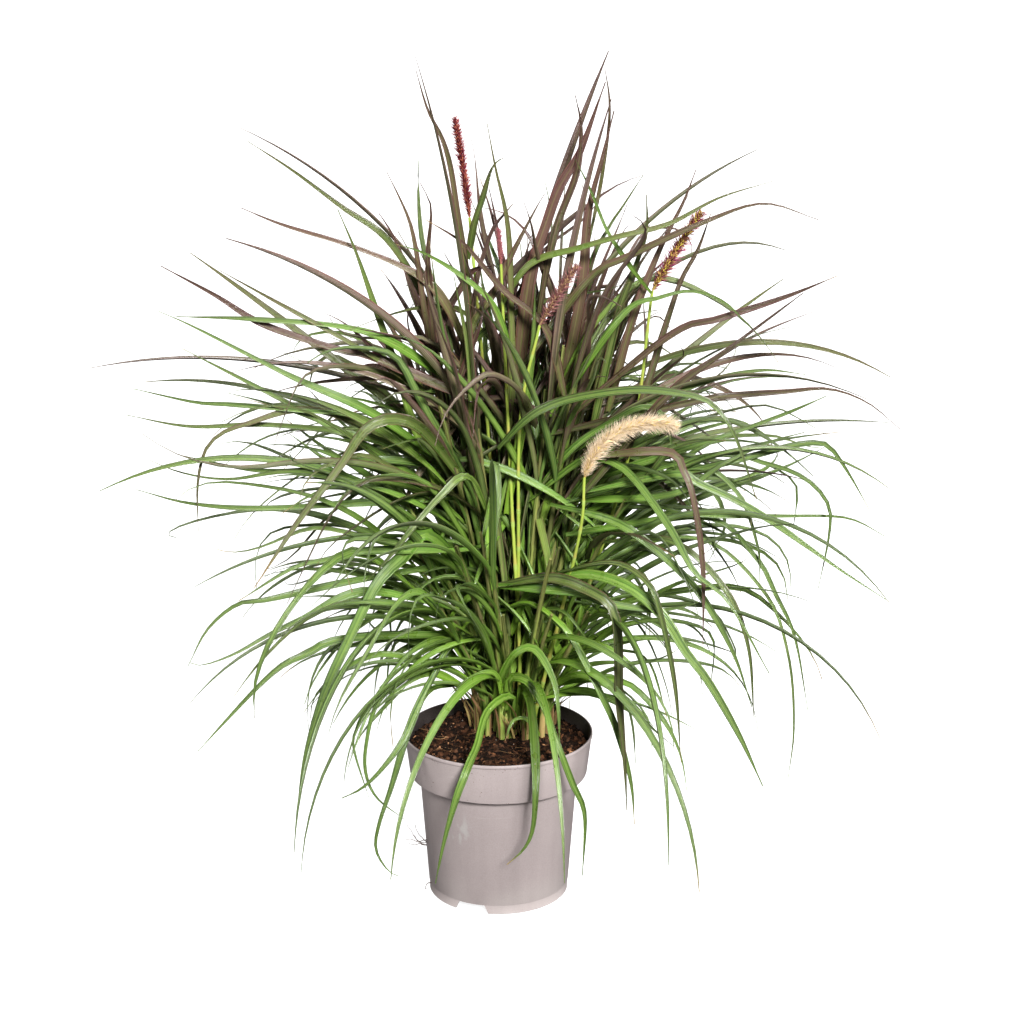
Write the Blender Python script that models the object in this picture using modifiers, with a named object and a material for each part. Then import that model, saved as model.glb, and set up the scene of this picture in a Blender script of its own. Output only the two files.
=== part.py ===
"""A purple-green fountain grass clump in a round nursery pot.

Metres, +Z up. The origin is the middle of the pot's foot, on the surface it stands on.
Azimuths are degrees round +Z from +X; a lean is degrees away from straight up.
"""

from math import cos, pi, radians, sin

import bpy
from mathutils import Vector

OBJECT_NAME = "potted_fountain_grass_clump"
GAP = 0.0003  # clearance between pieces that touch

# Pot
POT_HEIGHT = 0.205
RIM_RADIUS = 0.115
COLLAR_FOOT_RADIUS = 0.1085
COLLAR_FOOT_HEIGHT = 0.152
NECK_RADIUS = 0.0962
HEEL_RADIUS = 0.0862
FOOT_RADIUS = 0.0855
FOOT_HEIGHT = 0.0115
WALL = 0.0018
FLOOR_UNDERSIDE = 0.0085
POT_SIDES = 48
NOTCH_COUNT = 3
NOTCH_AZIMUTH = 247.0
NOTCH_TOP_WIDTH = 0.033
NOTCH_FOOT_WIDTH = 0.043
NOTCH_HEIGHT = 0.0108  # past the floor, so that water drains out of the pot

# Soil
SOIL_TOP = 0.1940
SOIL_EDGE_DROP = 0.0040
SOIL_FLAT_RADIUS = 0.094

# Plant
CROWN = Vector((0.020, 0.040, SOIL_TOP + GAP))
SHOOT_RADIUS = 0.0058
SHOOT_TIP_RADIUS = 0.0026
SHOOT_STEPS = 7
SHOOT_FLARE = 0.35  # the share of a shoot's length over which it turns to its full lean
CULM_RADIUS = 0.0024
SPIKE_STEPS = 9
BLADE_STEPS = 12
BLADE_THICKNESS = 0.13  # of its width
BLADE_ROOT_WIDTH = 0.55  # of its full width
BLADE_TIP_WIDTH = 0.10
BLADE_SWAY = 14.0
BLADE_TWIST = 60.0
BLADE_TWIST_LENGTH = 0.35

# Each shoot: azimuth, distance of its foot from the crown's middle, lean, length
SHOOTS = (
    (175, 0.022, 16, 0.44),
    (120, 0.020, 10, 0.46),
    (60, 0.018, 9, 0.48),
    (10, 0.024, 13, 0.45),
    (300, 0.020, 9, 0.42),
    (235, 0.022, 10, 0.40),
    (90, 0.002, 2, 0.50),
    (150, 0.036, 24, 0.36),
    (205, 0.036, 25, 0.34),
    (255, 0.036, 22, 0.26),
    (290, 0.036, 24, 0.24),
    (328, 0.037, 26, 0.34),
    (30, 0.036, 25, 0.36),
    (90, 0.036, 24, 0.34),
    (225, 0.046, 30, 0.20),
    (313, 0.049, 32, 0.20),
)

# Each leading blade: shoot number, place along it, azimuth, lean at its root, how far it bends over
# by its tip, power of the bend (under 1 bends early, over 1 bends late), length, width
BLADES = (
    (1, 0.97, 183, 69, 30, 1.2, 0.395, 0.010),
    (1, 0.85, 173, 50, 10, 1.2, 0.370, 0.010),
    (2, 0.98, 166, 26, 40, 1.0, 0.410, 0.010),
    (2, 0.80, 110, 36, 78, 1.2, 0.393, 0.011),
    (3, 0.98, 12, 32, 34, 1.2, 0.350, 0.011),
    (3, 0.80, 25, 30, 82, 1.3, 0.450, 0.011),
    (4, 0.97, 358, 64, 56, 1.5, 0.360, 0.010),
    (4, 0.80, 15, 48, 12, 1.2, 0.320, 0.011),
    (5, 0.98, 5, 6, 11, 1.2, 0.375, 0.014),
    (5, 0.78, 345, 38, 72, 1.2, 0.440, 0.011),
    (6, 0.96, 182, 10, 62, 0.6, 0.390, 0.013),
    (6, 0.99, 200, 2, 15, 1.2, 0.440, 0.010),
    (7, 0.99, 355, 14, 8, 1.2, 0.345, 0.013),
    (10, 0.97, 241, 48, 62, 1.2, 0.435, 0.011),
    (8, 0.97, 187, 54, 44, 1.2, 0.350, 0.010),
    (8, 0.75, 140, 40, 95, 1.2, 0.420, 0.010),
    (9, 0.97, 195, 58, 56, 1.2, 0.370, 0.010),
    (9, 0.82, 200, 78, 40, 1.0, 0.280, 0.010),
    (10, 0.32, 216, 34, 142, 0.7, 0.440, 0.010),
    (10, 0.26, 246, 34, 140, 0.7, 0.380, 0.010),
    (11, 0.26, 278, 34, 140, 0.7, 0.360, 0.010),
    (11, 0.36, 304, 34, 142, 0.7, 0.440, 0.010),
    (12, 0.97, 350, 46, 78, 1.2, 0.340, 0.010),
    (12, 0.72, 325, 44, 98, 1.2, 0.420, 0.010),
    (13, 0.97, 8, 74, 22, 1.2, 0.340, 0.010),
    (13, 0.72, 45, 42, 95, 1.2, 0.400, 0.010),
    (14, 0.97, 78, 46, 90, 1.2, 0.275, 0.010),
    (14, 0.72, 112, 42, 100, 1.2, 0.335, 0.010),
    (15, 0.97, 237, 52, 122, 0.8, 0.430, 0.012),
    (15, 0.85, 196, 66, 72, 1.1, 0.340, 0.010),
    (16, 0.97, 290, 50, 130, 0.8, 0.420, 0.012),
    (16, 0.80, 333, 46, 112, 1.0, 0.440, 0.010),
)

# Each culm: the points its smooth line runs through, the last one at the foot of its spike; then
# the spike: lean azimuth, lean at its foot, how far it bends over by its tip, length, radius
CULMS = (
    (((0.0065, 0.0335), (-0.002, 0.042, 0.40), (-0.015, 0.040, 0.62), (-0.0325, 0.035, 0.828)),
     (180, 6, 4, 0.115, 0.0060)),
    (((0.0185, 0.0260), (0.024, -0.004, 0.40), (0.026, -0.022, 0.60), (0.048, -0.030, 0.714)),
     (0, 28, 8, 0.080, 0.0060)),
    (((0.0400, 0.0330), (0.093, 0.034, 0.33), (0.155, 0.000, 0.555), (0.178, -0.010, 0.750)),
     (0, 28, 6, 0.105, 0.0085)),
    (((0.0425, 0.0115), (0.050, -0.004, 0.25), (0.093, -0.075, 0.47), (0.099, -0.085, 0.548)),
     (0, 12, 96, 0.135, 0.0100)),
    (((0.0205, 0.0135), (0.026, -0.006, 0.30), (0.016, -0.006, 0.50), (0.004, -0.002, 0.780)),
     (180, 3, 2, 0.040, 0.0040)),
)


def clear_scene():
    for thing in list(bpy.data.objects):
        bpy.data.objects.remove(thing, do_unlink=True)


def new_collection(name):
    collection = bpy.data.collections.new(name)
    bpy.context.scene.collection.children.link(collection)
    return collection


def new_material(name, colour, roughness):
    material = bpy.data.materials.new(name)
    material.use_nodes = True
    shader = material.node_tree.nodes["Principled BSDF"]
    shader.inputs["Base Color"].default_value = (*colour, 1.0)
    shader.inputs["Roughness"].default_value = roughness
    shader.inputs["Metallic"].default_value = 0.0
    return material


def new_object(name, data, collection, material=None):
    thing = bpy.data.objects.new(name, data)
    collection.objects.link(thing)
    if material is not None:
        thing.data.materials.append(material)
    return thing


def turned(name, profile, collection, material):
    """A profile of (radius, height) points turned once round the Z axis."""
    mesh = bpy.data.meshes.new(name)
    points = [(radius, 0.0, height) for radius, height in profile]
    edges = [(index, index + 1) for index in range(len(points) - 1)]
    mesh.from_pydata(points, edges, [])
    thing = new_object(name, mesh, collection, material)
    screw = thing.modifiers.new("Turn", "SCREW")
    screw.axis = "Z"
    screw.angle = 2 * pi
    screw.steps = POT_SIDES
    screw.render_steps = POT_SIDES
    screw.use_merge_vertices = True
    screw.merge_threshold = 0.00005
    return thing


def direction(azimuth, lean):
    """The unit vector that leans so many degrees from straight up, towards an azimuth."""
    a = radians(azimuth)
    b = radians(lean)
    return Vector((sin(b) * cos(a), sin(b) * sin(a), cos(b)))


def bending_path(start, azimuth, lean, bend, power, length, steps, sway=0.0):
    """Points along a line that leaves at one lean, bends over towards its tip and sways sideways."""
    points = [start.copy()]
    for step in range(steps):
        middle = (step + 0.5) / steps
        heading = direction(azimuth + sway * middle, lean + bend * middle**power)
        points.append(points[-1] + heading * (length / steps))
    return points


def add_spline(curve, points, radii, closed=False):
    spline = curve.splines.new("POLY")
    spline.points.add(len(points) - 1)
    for target, point, radius in zip(spline.points, points, radii):
        target.co = (*point, 1.0)
        target.radius = radius
    spline.use_cyclic_u = closed
    return spline


def round_rod(name, points, radii, resolution, collection, material):
    """A closed round rod along a line, with a radius of its own at each point."""
    curve = bpy.data.curves.new(name, "CURVE")
    curve.dimensions = "3D"
    curve.bevel_mode = "ROUND"
    curve.bevel_depth = 1.0
    curve.bevel_resolution = resolution
    curve.use_fill_caps = True
    add_spline(curve, points, radii)
    return new_object(name, curve, collection, material)


# --- pot and soil -------------------------------------------------------------------------------


def pot_outside():
    """The pot's outer side from the rim down to the foot ring, as (radius, height)."""
    return [
        (RIM_RADIUS - 0.0009, POT_HEIGHT),
        (RIM_RADIUS, POT_HEIGHT - 0.0010),
        (RIM_RADIUS, POT_HEIGHT - 0.0036),
        (RIM_RADIUS - 0.0010, POT_HEIGHT - 0.0046),
        (COLLAR_FOOT_RADIUS, COLLAR_FOOT_HEIGHT + 0.0035),
        (COLLAR_FOOT_RADIUS - 0.0028, COLLAR_FOOT_HEIGHT + 0.0004),
        (NECK_RADIUS + 0.0024, COLLAR_FOOT_HEIGHT - 0.0010),
        (NECK_RADIUS, COLLAR_FOOT_HEIGHT - 0.0036),
        (HEEL_RADIUS, FOOT_HEIGHT + 0.0008),
        (FOOT_RADIUS, FOOT_HEIGHT),
        (FOOT_RADIUS, 0.0),
    ]


def pot_inside():
    """The pot's inner side from the middle of its floor up to the rim, as (radius, height)."""
    return [
        (0.0, FLOOR_UNDERSIDE + WALL),
        (HEEL_RADIUS - WALL - 0.0010, FLOOR_UNDERSIDE + WALL),
        (HEEL_RADIUS - WALL, FOOT_HEIGHT + 0.0010),
        (NECK_RADIUS - WALL, COLLAR_FOOT_HEIGHT - 0.0028),
        (NECK_RADIUS + 0.0012, COLLAR_FOOT_HEIGHT + 0.0010),
        (COLLAR_FOOT_RADIUS - WALL - 0.0022, COLLAR_FOOT_HEIGHT + 0.0024),
        (COLLAR_FOOT_RADIUS - WALL, COLLAR_FOOT_HEIGHT + 0.0048),
        (RIM_RADIUS - WALL - 0.0010, POT_HEIGHT - 0.0010),
        (RIM_RADIUS - WALL - 0.0004, POT_HEIGHT),
    ]


def drain_notch(azimuth, collection):
    """A cutter for one trapezoid notch, from a box whose top is drawn in narrower."""
    bpy.ops.mesh.primitive_cube_add(size=1.0)
    cutter = bpy.context.active_object
    cutter.name = f"notch_cutter_{azimuth:.0f}"
    depth = 0.014
    base = -0.004
    slope = (NOTCH_TOP_WIDTH - NOTCH_FOOT_WIDTH) / NOTCH_HEIGHT
    for vertex in cutter.data.vertices:
        height = NOTCH_HEIGHT if vertex.co.z > 0 else base
        half_width = (NOTCH_FOOT_WIDTH + slope * height) / 2
        side = 1 if vertex.co.y > 0 else -1
        reach = depth / 2 if vertex.co.x > 0 else -depth / 2
        vertex.co = (FOOT_RADIUS + reach, side * half_width, height)
    cutter.rotation_euler.z = radians(azimuth)
    cutter.hide_render = True
    cutter.display_type = "WIRE"
    for old in list(cutter.users_collection):
        old.objects.unlink(cutter)
    collection.objects.link(cutter)
    return cutter


def build_pot(parts, cutters):
    material = new_material("pot_plastic", (0.38, 0.33, 0.32), 0.42)
    foot_ring = [
        (FOOT_RADIUS - 0.0024, 0.0),
        (FOOT_RADIUS - 0.0024, FLOOR_UNDERSIDE),
        (0.0, FLOOR_UNDERSIDE),
    ]
    pot = turned("pot", pot_inside() + pot_outside() + foot_ring, parts, material)
    for number in range(NOTCH_COUNT):
        azimuth = NOTCH_AZIMUTH + number * 360 / NOTCH_COUNT
        cut = pot.modifiers.new(f"Drain notch {number + 1}", "BOOLEAN")
        cut.operation = "DIFFERENCE"
        cut.solver = "EXACT"
        cut.object = drain_notch(azimuth, cutters)
    return pot


def build_soil(parts):
    """The root ball: it follows the pot's inside, one gap clear of it."""
    material = new_material("soil", (0.05, 0.03, 0.02), 0.9)
    inside = pot_inside()
    low = FLOOR_UNDERSIDE + WALL + GAP
    edge_height = SOIL_TOP - SOIL_EDGE_DROP
    foot, rim = inside[6], inside[7]
    share = (edge_height - foot[1]) / (rim[1] - foot[1])
    edge_radius = foot[0] + share * (rim[0] - foot[0])
    clear = 1.5 * GAP
    side = [(radius - clear, height + GAP) for radius, height in reversed(inside[2:7])]
    profile = [(0.0, SOIL_TOP), (SOIL_FLAT_RADIUS, SOIL_TOP), (edge_radius - clear, edge_height)]
    profile += side
    profile += [(inside[1][0] - clear, low), (0.0, low)]
    return turned("soil", profile, parts, material)


# --- plant --------------------------------------------------------------------------------------


def shoot_path(azimuth, offset, lean, length):
    """A shoot rises straight from the soil, turns to its lean, then runs on almost straight."""
    a = radians(azimuth)
    points = [CROWN + Vector((cos(a), sin(a), 0.0)) * offset]
    for step in range(SHOOT_STEPS):
        middle = (step + 0.5) / SHOOT_STEPS
        turn = min(1.0, step / (SHOOT_STEPS * SHOOT_FLARE))
        heading = direction(azimuth, lean * turn * (0.9 + 0.2 * middle))
        points.append(points[-1] + heading * (length / SHOOT_STEPS))
    return points


def shoot_radius(share):
    return SHOOT_RADIUS + (SHOOT_TIP_RADIUS - SHOOT_RADIUS) * share


def point_along(points, share):
    """The point and the heading at a share of the way along a line of even steps."""
    place = min(share, 0.9999) * (len(points) - 1)
    index = int(place)
    heading = (points[index + 1] - points[index]).normalized()
    return points[index].lerp(points[index + 1], place - index), heading


def blade_width(share):
    """Half the width of a blade along its length, for a full width of 2."""
    rise = min(1.0, share / 0.25)
    opening = BLADE_ROOT_WIDTH + (1 - BLADE_ROOT_WIDTH) * rise * (2 - rise)
    taper = (1 - share**2.2) ** 0.9
    return max(opening * taper, BLADE_TIP_WIDTH)


def blade_section(guides):
    """The flat diamond that every blade's cross-section is scaled from."""
    curve = bpy.data.curves.new("blade_section", "CURVE")
    curve.dimensions = "2D"
    corners = [(1.0, 0.0), (0.0, -BLADE_THICKNESS), (-1.0, 0.0), (0.0, BLADE_THICKNESS)]
    add_spline(curve, [(x, y, 0.0) for x, y in corners], [1.0] * 4, closed=True)
    section = new_object("blade_section", curve, guides)
    section.hide_render = True
    section.display_type = "WIRE"
    return section


def build_blade(number, row, section, parts, material):
    name = f"leaf_{number:02d}"
    shoot, share, azimuth, lean, bend, power, length, width = row
    point, heading = point_along(shoot_path(*SHOOTS[shoot - 1]), share)
    outward = direction(azimuth, 90)
    outward = (outward - heading * outward.dot(heading)).normalized()
    clear = shoot_radius(share) + width * BLADE_THICKNESS * BLADE_ROOT_WIDTH / 2 + GAP
    start = point + outward * clear
    sway = BLADE_SWAY * sin(2.4 * number)
    points = bending_path(start, azimuth, lean, bend, power, length, BLADE_STEPS, sway)
    shares = [step / BLADE_STEPS for step in range(BLADE_STEPS + 1)]
    radii = [width / 2 * blade_width(share) for share in shares]
    turn = BLADE_TWIST * cos(1.7 * number)
    curve = bpy.data.curves.new(name, "CURVE")
    curve.dimensions = "3D"
    curve.twist_mode = "Z_UP"
    curve.bevel_mode = "OBJECT"
    curve.bevel_object = section
    curve.use_fill_caps = True
    spline = add_spline(curve, points, radii)
    for point, share in zip(spline.points, shares):
        point.tilt = radians(turn) * min(1.0, share / BLADE_TWIST_LENGTH)
    return new_object(name, curve, parts, material)


def smooth_line(knots, steps):
    """Points on one smooth curve through the knots, evenly many between each pair."""
    points = []
    ends = [knots[0] * 2 - knots[1], *knots, knots[-1] * 2 - knots[-2]]
    for before, first, second, after in zip(ends, ends[1:], ends[2:], ends[3:]):
        for step in range(steps):
            t = step / steps
            points.append(
                first
                + (second - before) * (t / 2)
                + (before * 2 - first * 5 + second * 4 - after) * (t * t / 2)
                + (first * 3 - before - second * 3 + after) * (t * t * t / 2)
            )
    points.append(knots[-1])
    return points


def build_culm(number, knots, spike, parts, stem_material, spike_material):
    foot = Vector((*knots[0], SOIL_TOP + GAP))
    upright = foot + Vector((0.0, 0.0, 0.012))
    line = smooth_line([upright] + [Vector(knot) for knot in knots[1:]], 4)
    line.insert(0, foot)
    radii = [CULM_RADIUS * (1 - 0.35 * index / (len(line) - 1)) for index in range(len(line))]
    round_rod(f"culm_{number}", line, radii, 1, parts, stem_material)

    azimuth, lean, bend, length, radius = spike
    start = line[-1] + direction(azimuth, lean) * (2 * GAP)
    points = bending_path(start, azimuth, lean, bend, 1.0, length, SPIKE_STEPS)
    bulge = [max(0.25, sin(pi * (0.12 + 0.80 * i / SPIKE_STEPS)) ** 0.6) for i in range(SPIKE_STEPS + 1)]
    round_rod(f"spike_{number}", points, [radius * b for b in bulge], 2, parts, spike_material)


def build_plant(parts, guides):
    sheath = new_material("sheath", (0.22, 0.26, 0.08), 0.6)
    leaf = new_material("leaf", (0.12, 0.20, 0.06), 0.5)
    stem = new_material("culm", (0.35, 0.40, 0.12), 0.5)
    spike = new_material("spike", (0.35, 0.14, 0.16), 0.8)
    section = blade_section(guides)
    for number, row in enumerate(SHOOTS, start=1):
        points = shoot_path(*row)
        radii = [shoot_radius(step / SHOOT_STEPS) for step in range(SHOOT_STEPS + 1)]
        round_rod(f"shoot_{number:02d}", points, radii, 1, parts, sheath)
    for number, row in enumerate(BLADES, start=1):
        build_blade(number, row, section, parts, leaf)
    for number, (knots, spike_row) in enumerate(CULMS, start=1):
        build_culm(number, knots, spike_row, parts, stem, spike)


def main():
    clear_scene()
    parts = new_collection(OBJECT_NAME)
    cutters = new_collection("cutters_and_guides")
    build_pot(parts, cutters)
    build_soil(parts)
    build_plant(parts, cutters)


main()
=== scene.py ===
"""A potted purple-green fountain grass clump: the finish of its pot, soil, shoots, blades and spikes.

Run it as a script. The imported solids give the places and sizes; this file makes the fine surfaces.
Metres, +Z up. Azimuths are degrees round +Z from +X; a lean is degrees away from straight up.
"""

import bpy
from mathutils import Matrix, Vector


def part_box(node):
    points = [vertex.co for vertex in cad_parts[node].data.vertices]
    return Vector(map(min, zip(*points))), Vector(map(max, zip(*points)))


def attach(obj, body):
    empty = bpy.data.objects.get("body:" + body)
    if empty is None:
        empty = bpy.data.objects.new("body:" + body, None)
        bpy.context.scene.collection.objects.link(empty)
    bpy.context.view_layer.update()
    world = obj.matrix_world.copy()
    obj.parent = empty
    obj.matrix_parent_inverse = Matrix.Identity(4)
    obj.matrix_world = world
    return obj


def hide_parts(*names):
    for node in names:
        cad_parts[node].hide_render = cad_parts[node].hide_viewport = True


bl_info = {
    "name": "Potted fountain grass clump",
    "version": (1, 0, 0),
    "blender": (4, 5, 0),
    "location": "3D View > Sidebar > Fountain Grass",
    "description": "Finishes a potted fountain grass clump: pot, soil, shoots, blades and spikes",
    "category": "Object",
}

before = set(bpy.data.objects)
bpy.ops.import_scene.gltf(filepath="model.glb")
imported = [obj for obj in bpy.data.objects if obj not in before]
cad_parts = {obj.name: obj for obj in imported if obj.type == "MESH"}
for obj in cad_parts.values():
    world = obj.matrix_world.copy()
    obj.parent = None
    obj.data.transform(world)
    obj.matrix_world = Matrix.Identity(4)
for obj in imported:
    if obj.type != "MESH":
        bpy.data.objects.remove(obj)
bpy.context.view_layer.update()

from functools import cache
from math import ceil, cos, pi, radians, sin
from random import Random

import bmesh
import bpy
import numpy as np
from mathutils import Vector, noise

POT_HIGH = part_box("pot")[1]
SOIL_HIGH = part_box("soil")[1]
UP = Vector((0.0, 0.0, 1.0))
BAKE_LAYOUT = "OFBake"  # the UV map laid out for baked maps

# --- the plant's design, as in the solids --------------------------------------------------------

RIM_RADIUS = POT_HIGH[0]
POT_HEIGHT = POT_HIGH[2]
COLLAR_FOOT_RADIUS = 0.1085
COLLAR_FOOT_HEIGHT = 0.152
NECK_RADIUS = 0.0962
HEEL_RADIUS = 0.0862
FOOT_RADIUS = 0.0855
FOOT_HEIGHT = 0.0115
BODY_HEIGHT = 0.137  # of the tapering wall between foot and collar
WALL = 0.0018
FLOOR_UNDERSIDE = 0.0085
NOTCH_COUNT = 3
NOTCH_AZIMUTH = 247.0
NOTCH_TOP_WIDTH = 0.033
NOTCH_FOOT_WIDTH = 0.043
NOTCH_HEIGHT = 0.0108
SOIL_TOP = SOIL_HIGH[2]
GAP = 0.0003
SMUDGE = (-0.050, -0.078, 0.108)  # the pale wiped mark on the pot's side
CROWN = Vector((0.020, 0.040, SOIL_TOP + GAP))
SHOOT_RADIUS = 0.0058
SHOOT_TIP_RADIUS = 0.0026
SHOOT_FLARE = 0.35
SHOOT_STEPS = 7
TILLER_TURN = 137.5  # degrees from one small shoot to the next
BLADE_ROOT_WIDTH = 0.55
BLADE_THICKNESS = 0.13
BLADE_SWAY = 14.0
BLADE_TWIST = 60.0
BLADE_TWIST_LENGTH = 0.35
BLADE_STEPS = 18
BLADE_POINTS = BLADE_STEPS + 3  # two inside its sheath, then both ends of every step
WINE_GAIN = 0.25  # how much more wine a blade has at its tip, and less at its root
CULM_RADIUS = 0.0024
BRISTLE_TURN = 2.39996  # radians from one bristle of a spike to the next

# Each shoot: azimuth, distance of its foot from the crown's middle, lean, length
SHOOTS = (
    (175, 0.022, 16, 0.44),
    (120, 0.020, 10, 0.46),
    (60, 0.018, 9, 0.48),
    (10, 0.024, 13, 0.45),
    (300, 0.020, 9, 0.42),
    (235, 0.022, 10, 0.40),
    (90, 0.002, 2, 0.50),
    (150, 0.036, 24, 0.36),
    (205, 0.036, 25, 0.34),
    (255, 0.036, 22, 0.26),
    (290, 0.036, 24, 0.24),
    (328, 0.037, 26, 0.34),
    (30, 0.036, 25, 0.36),
    (90, 0.036, 24, 0.34),
    (225, 0.046, 30, 0.20),
    (313, 0.049, 32, 0.20),
)

# Each leading blade: shoot number, place along it, azimuth, lean at its root, how far it bends over
# by its tip, power of the bend (under 1 bends early, over 1 bends late), length, width, wine tint
LEADING_BLADES = (
    (1, 0.97, 183, 69, 30, 1.2, 0.395, 0.010, 0.75),
    (1, 0.85, 173, 50, 10, 1.2, 0.370, 0.010, 0.55),
    (2, 0.98, 166, 26, 40, 1.0, 0.410, 0.010, 0.80),
    (2, 0.80, 110, 36, 78, 1.2, 0.393, 0.011, 0.50),
    (3, 0.98, 12, 32, 34, 1.2, 0.350, 0.011, 0.60),
    (3, 0.80, 25, 30, 82, 1.3, 0.450, 0.011, 0.50),
    (4, 0.97, 358, 64, 56, 1.5, 0.360, 0.010, 0.55),
    (4, 0.80, 15, 48, 12, 1.2, 0.320, 0.011, 0.50),
    (5, 0.98, 5, 6, 11, 1.2, 0.375, 0.014, 0.95),
    (5, 0.78, 345, 38, 72, 1.2, 0.440, 0.011, 0.55),
    (6, 0.96, 182, 10, 62, 0.6, 0.390, 0.013, 0.90),
    (6, 0.99, 200, 2, 15, 1.2, 0.440, 0.010, 0.70),
    (7, 0.99, 355, 14, 8, 1.2, 0.345, 0.013, 0.95),
    (10, 0.97, 241, 48, 62, 1.2, 0.435, 0.011, 0.15),
    (8, 0.97, 187, 54, 44, 1.2, 0.350, 0.010, 0.30),
    (8, 0.75, 140, 40, 95, 1.2, 0.420, 0.010, 0.20),
    (9, 0.97, 195, 58, 56, 1.2, 0.370, 0.010, 0.15),
    (9, 0.82, 200, 78, 40, 1.0, 0.280, 0.010, 0.05),
    (10, 0.32, 216, 34, 142, 0.7, 0.440, 0.010, 0.0),
    (10, 0.26, 246, 34, 140, 0.7, 0.380, 0.010, 0.0),
    (11, 0.26, 278, 34, 140, 0.7, 0.360, 0.010, 0.0),
    (11, 0.36, 304, 34, 142, 0.7, 0.440, 0.010, 0.0),
    (12, 0.97, 350, 46, 78, 1.2, 0.340, 0.010, 0.20),
    (12, 0.72, 325, 44, 98, 1.2, 0.420, 0.010, 0.05),
    (13, 0.97, 8, 74, 22, 1.2, 0.340, 0.010, 0.35),
    (13, 0.72, 45, 42, 95, 1.2, 0.400, 0.010, 0.15),
    (14, 0.97, 78, 46, 90, 1.2, 0.275, 0.010, 0.25),
    (14, 0.72, 112, 42, 100, 1.2, 0.335, 0.010, 0.15),
    (15, 0.97, 237, 52, 122, 0.8, 0.430, 0.012, 0.0),
    (15, 0.85, 196, 66, 72, 1.1, 0.340, 0.010, 0.05),
    (16, 0.97, 290, 50, 130, 0.8, 0.420, 0.012, 0.0),
    (16, 0.80, 333, 46, 112, 1.0, 0.440, 0.010, 0.05),
)
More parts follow.
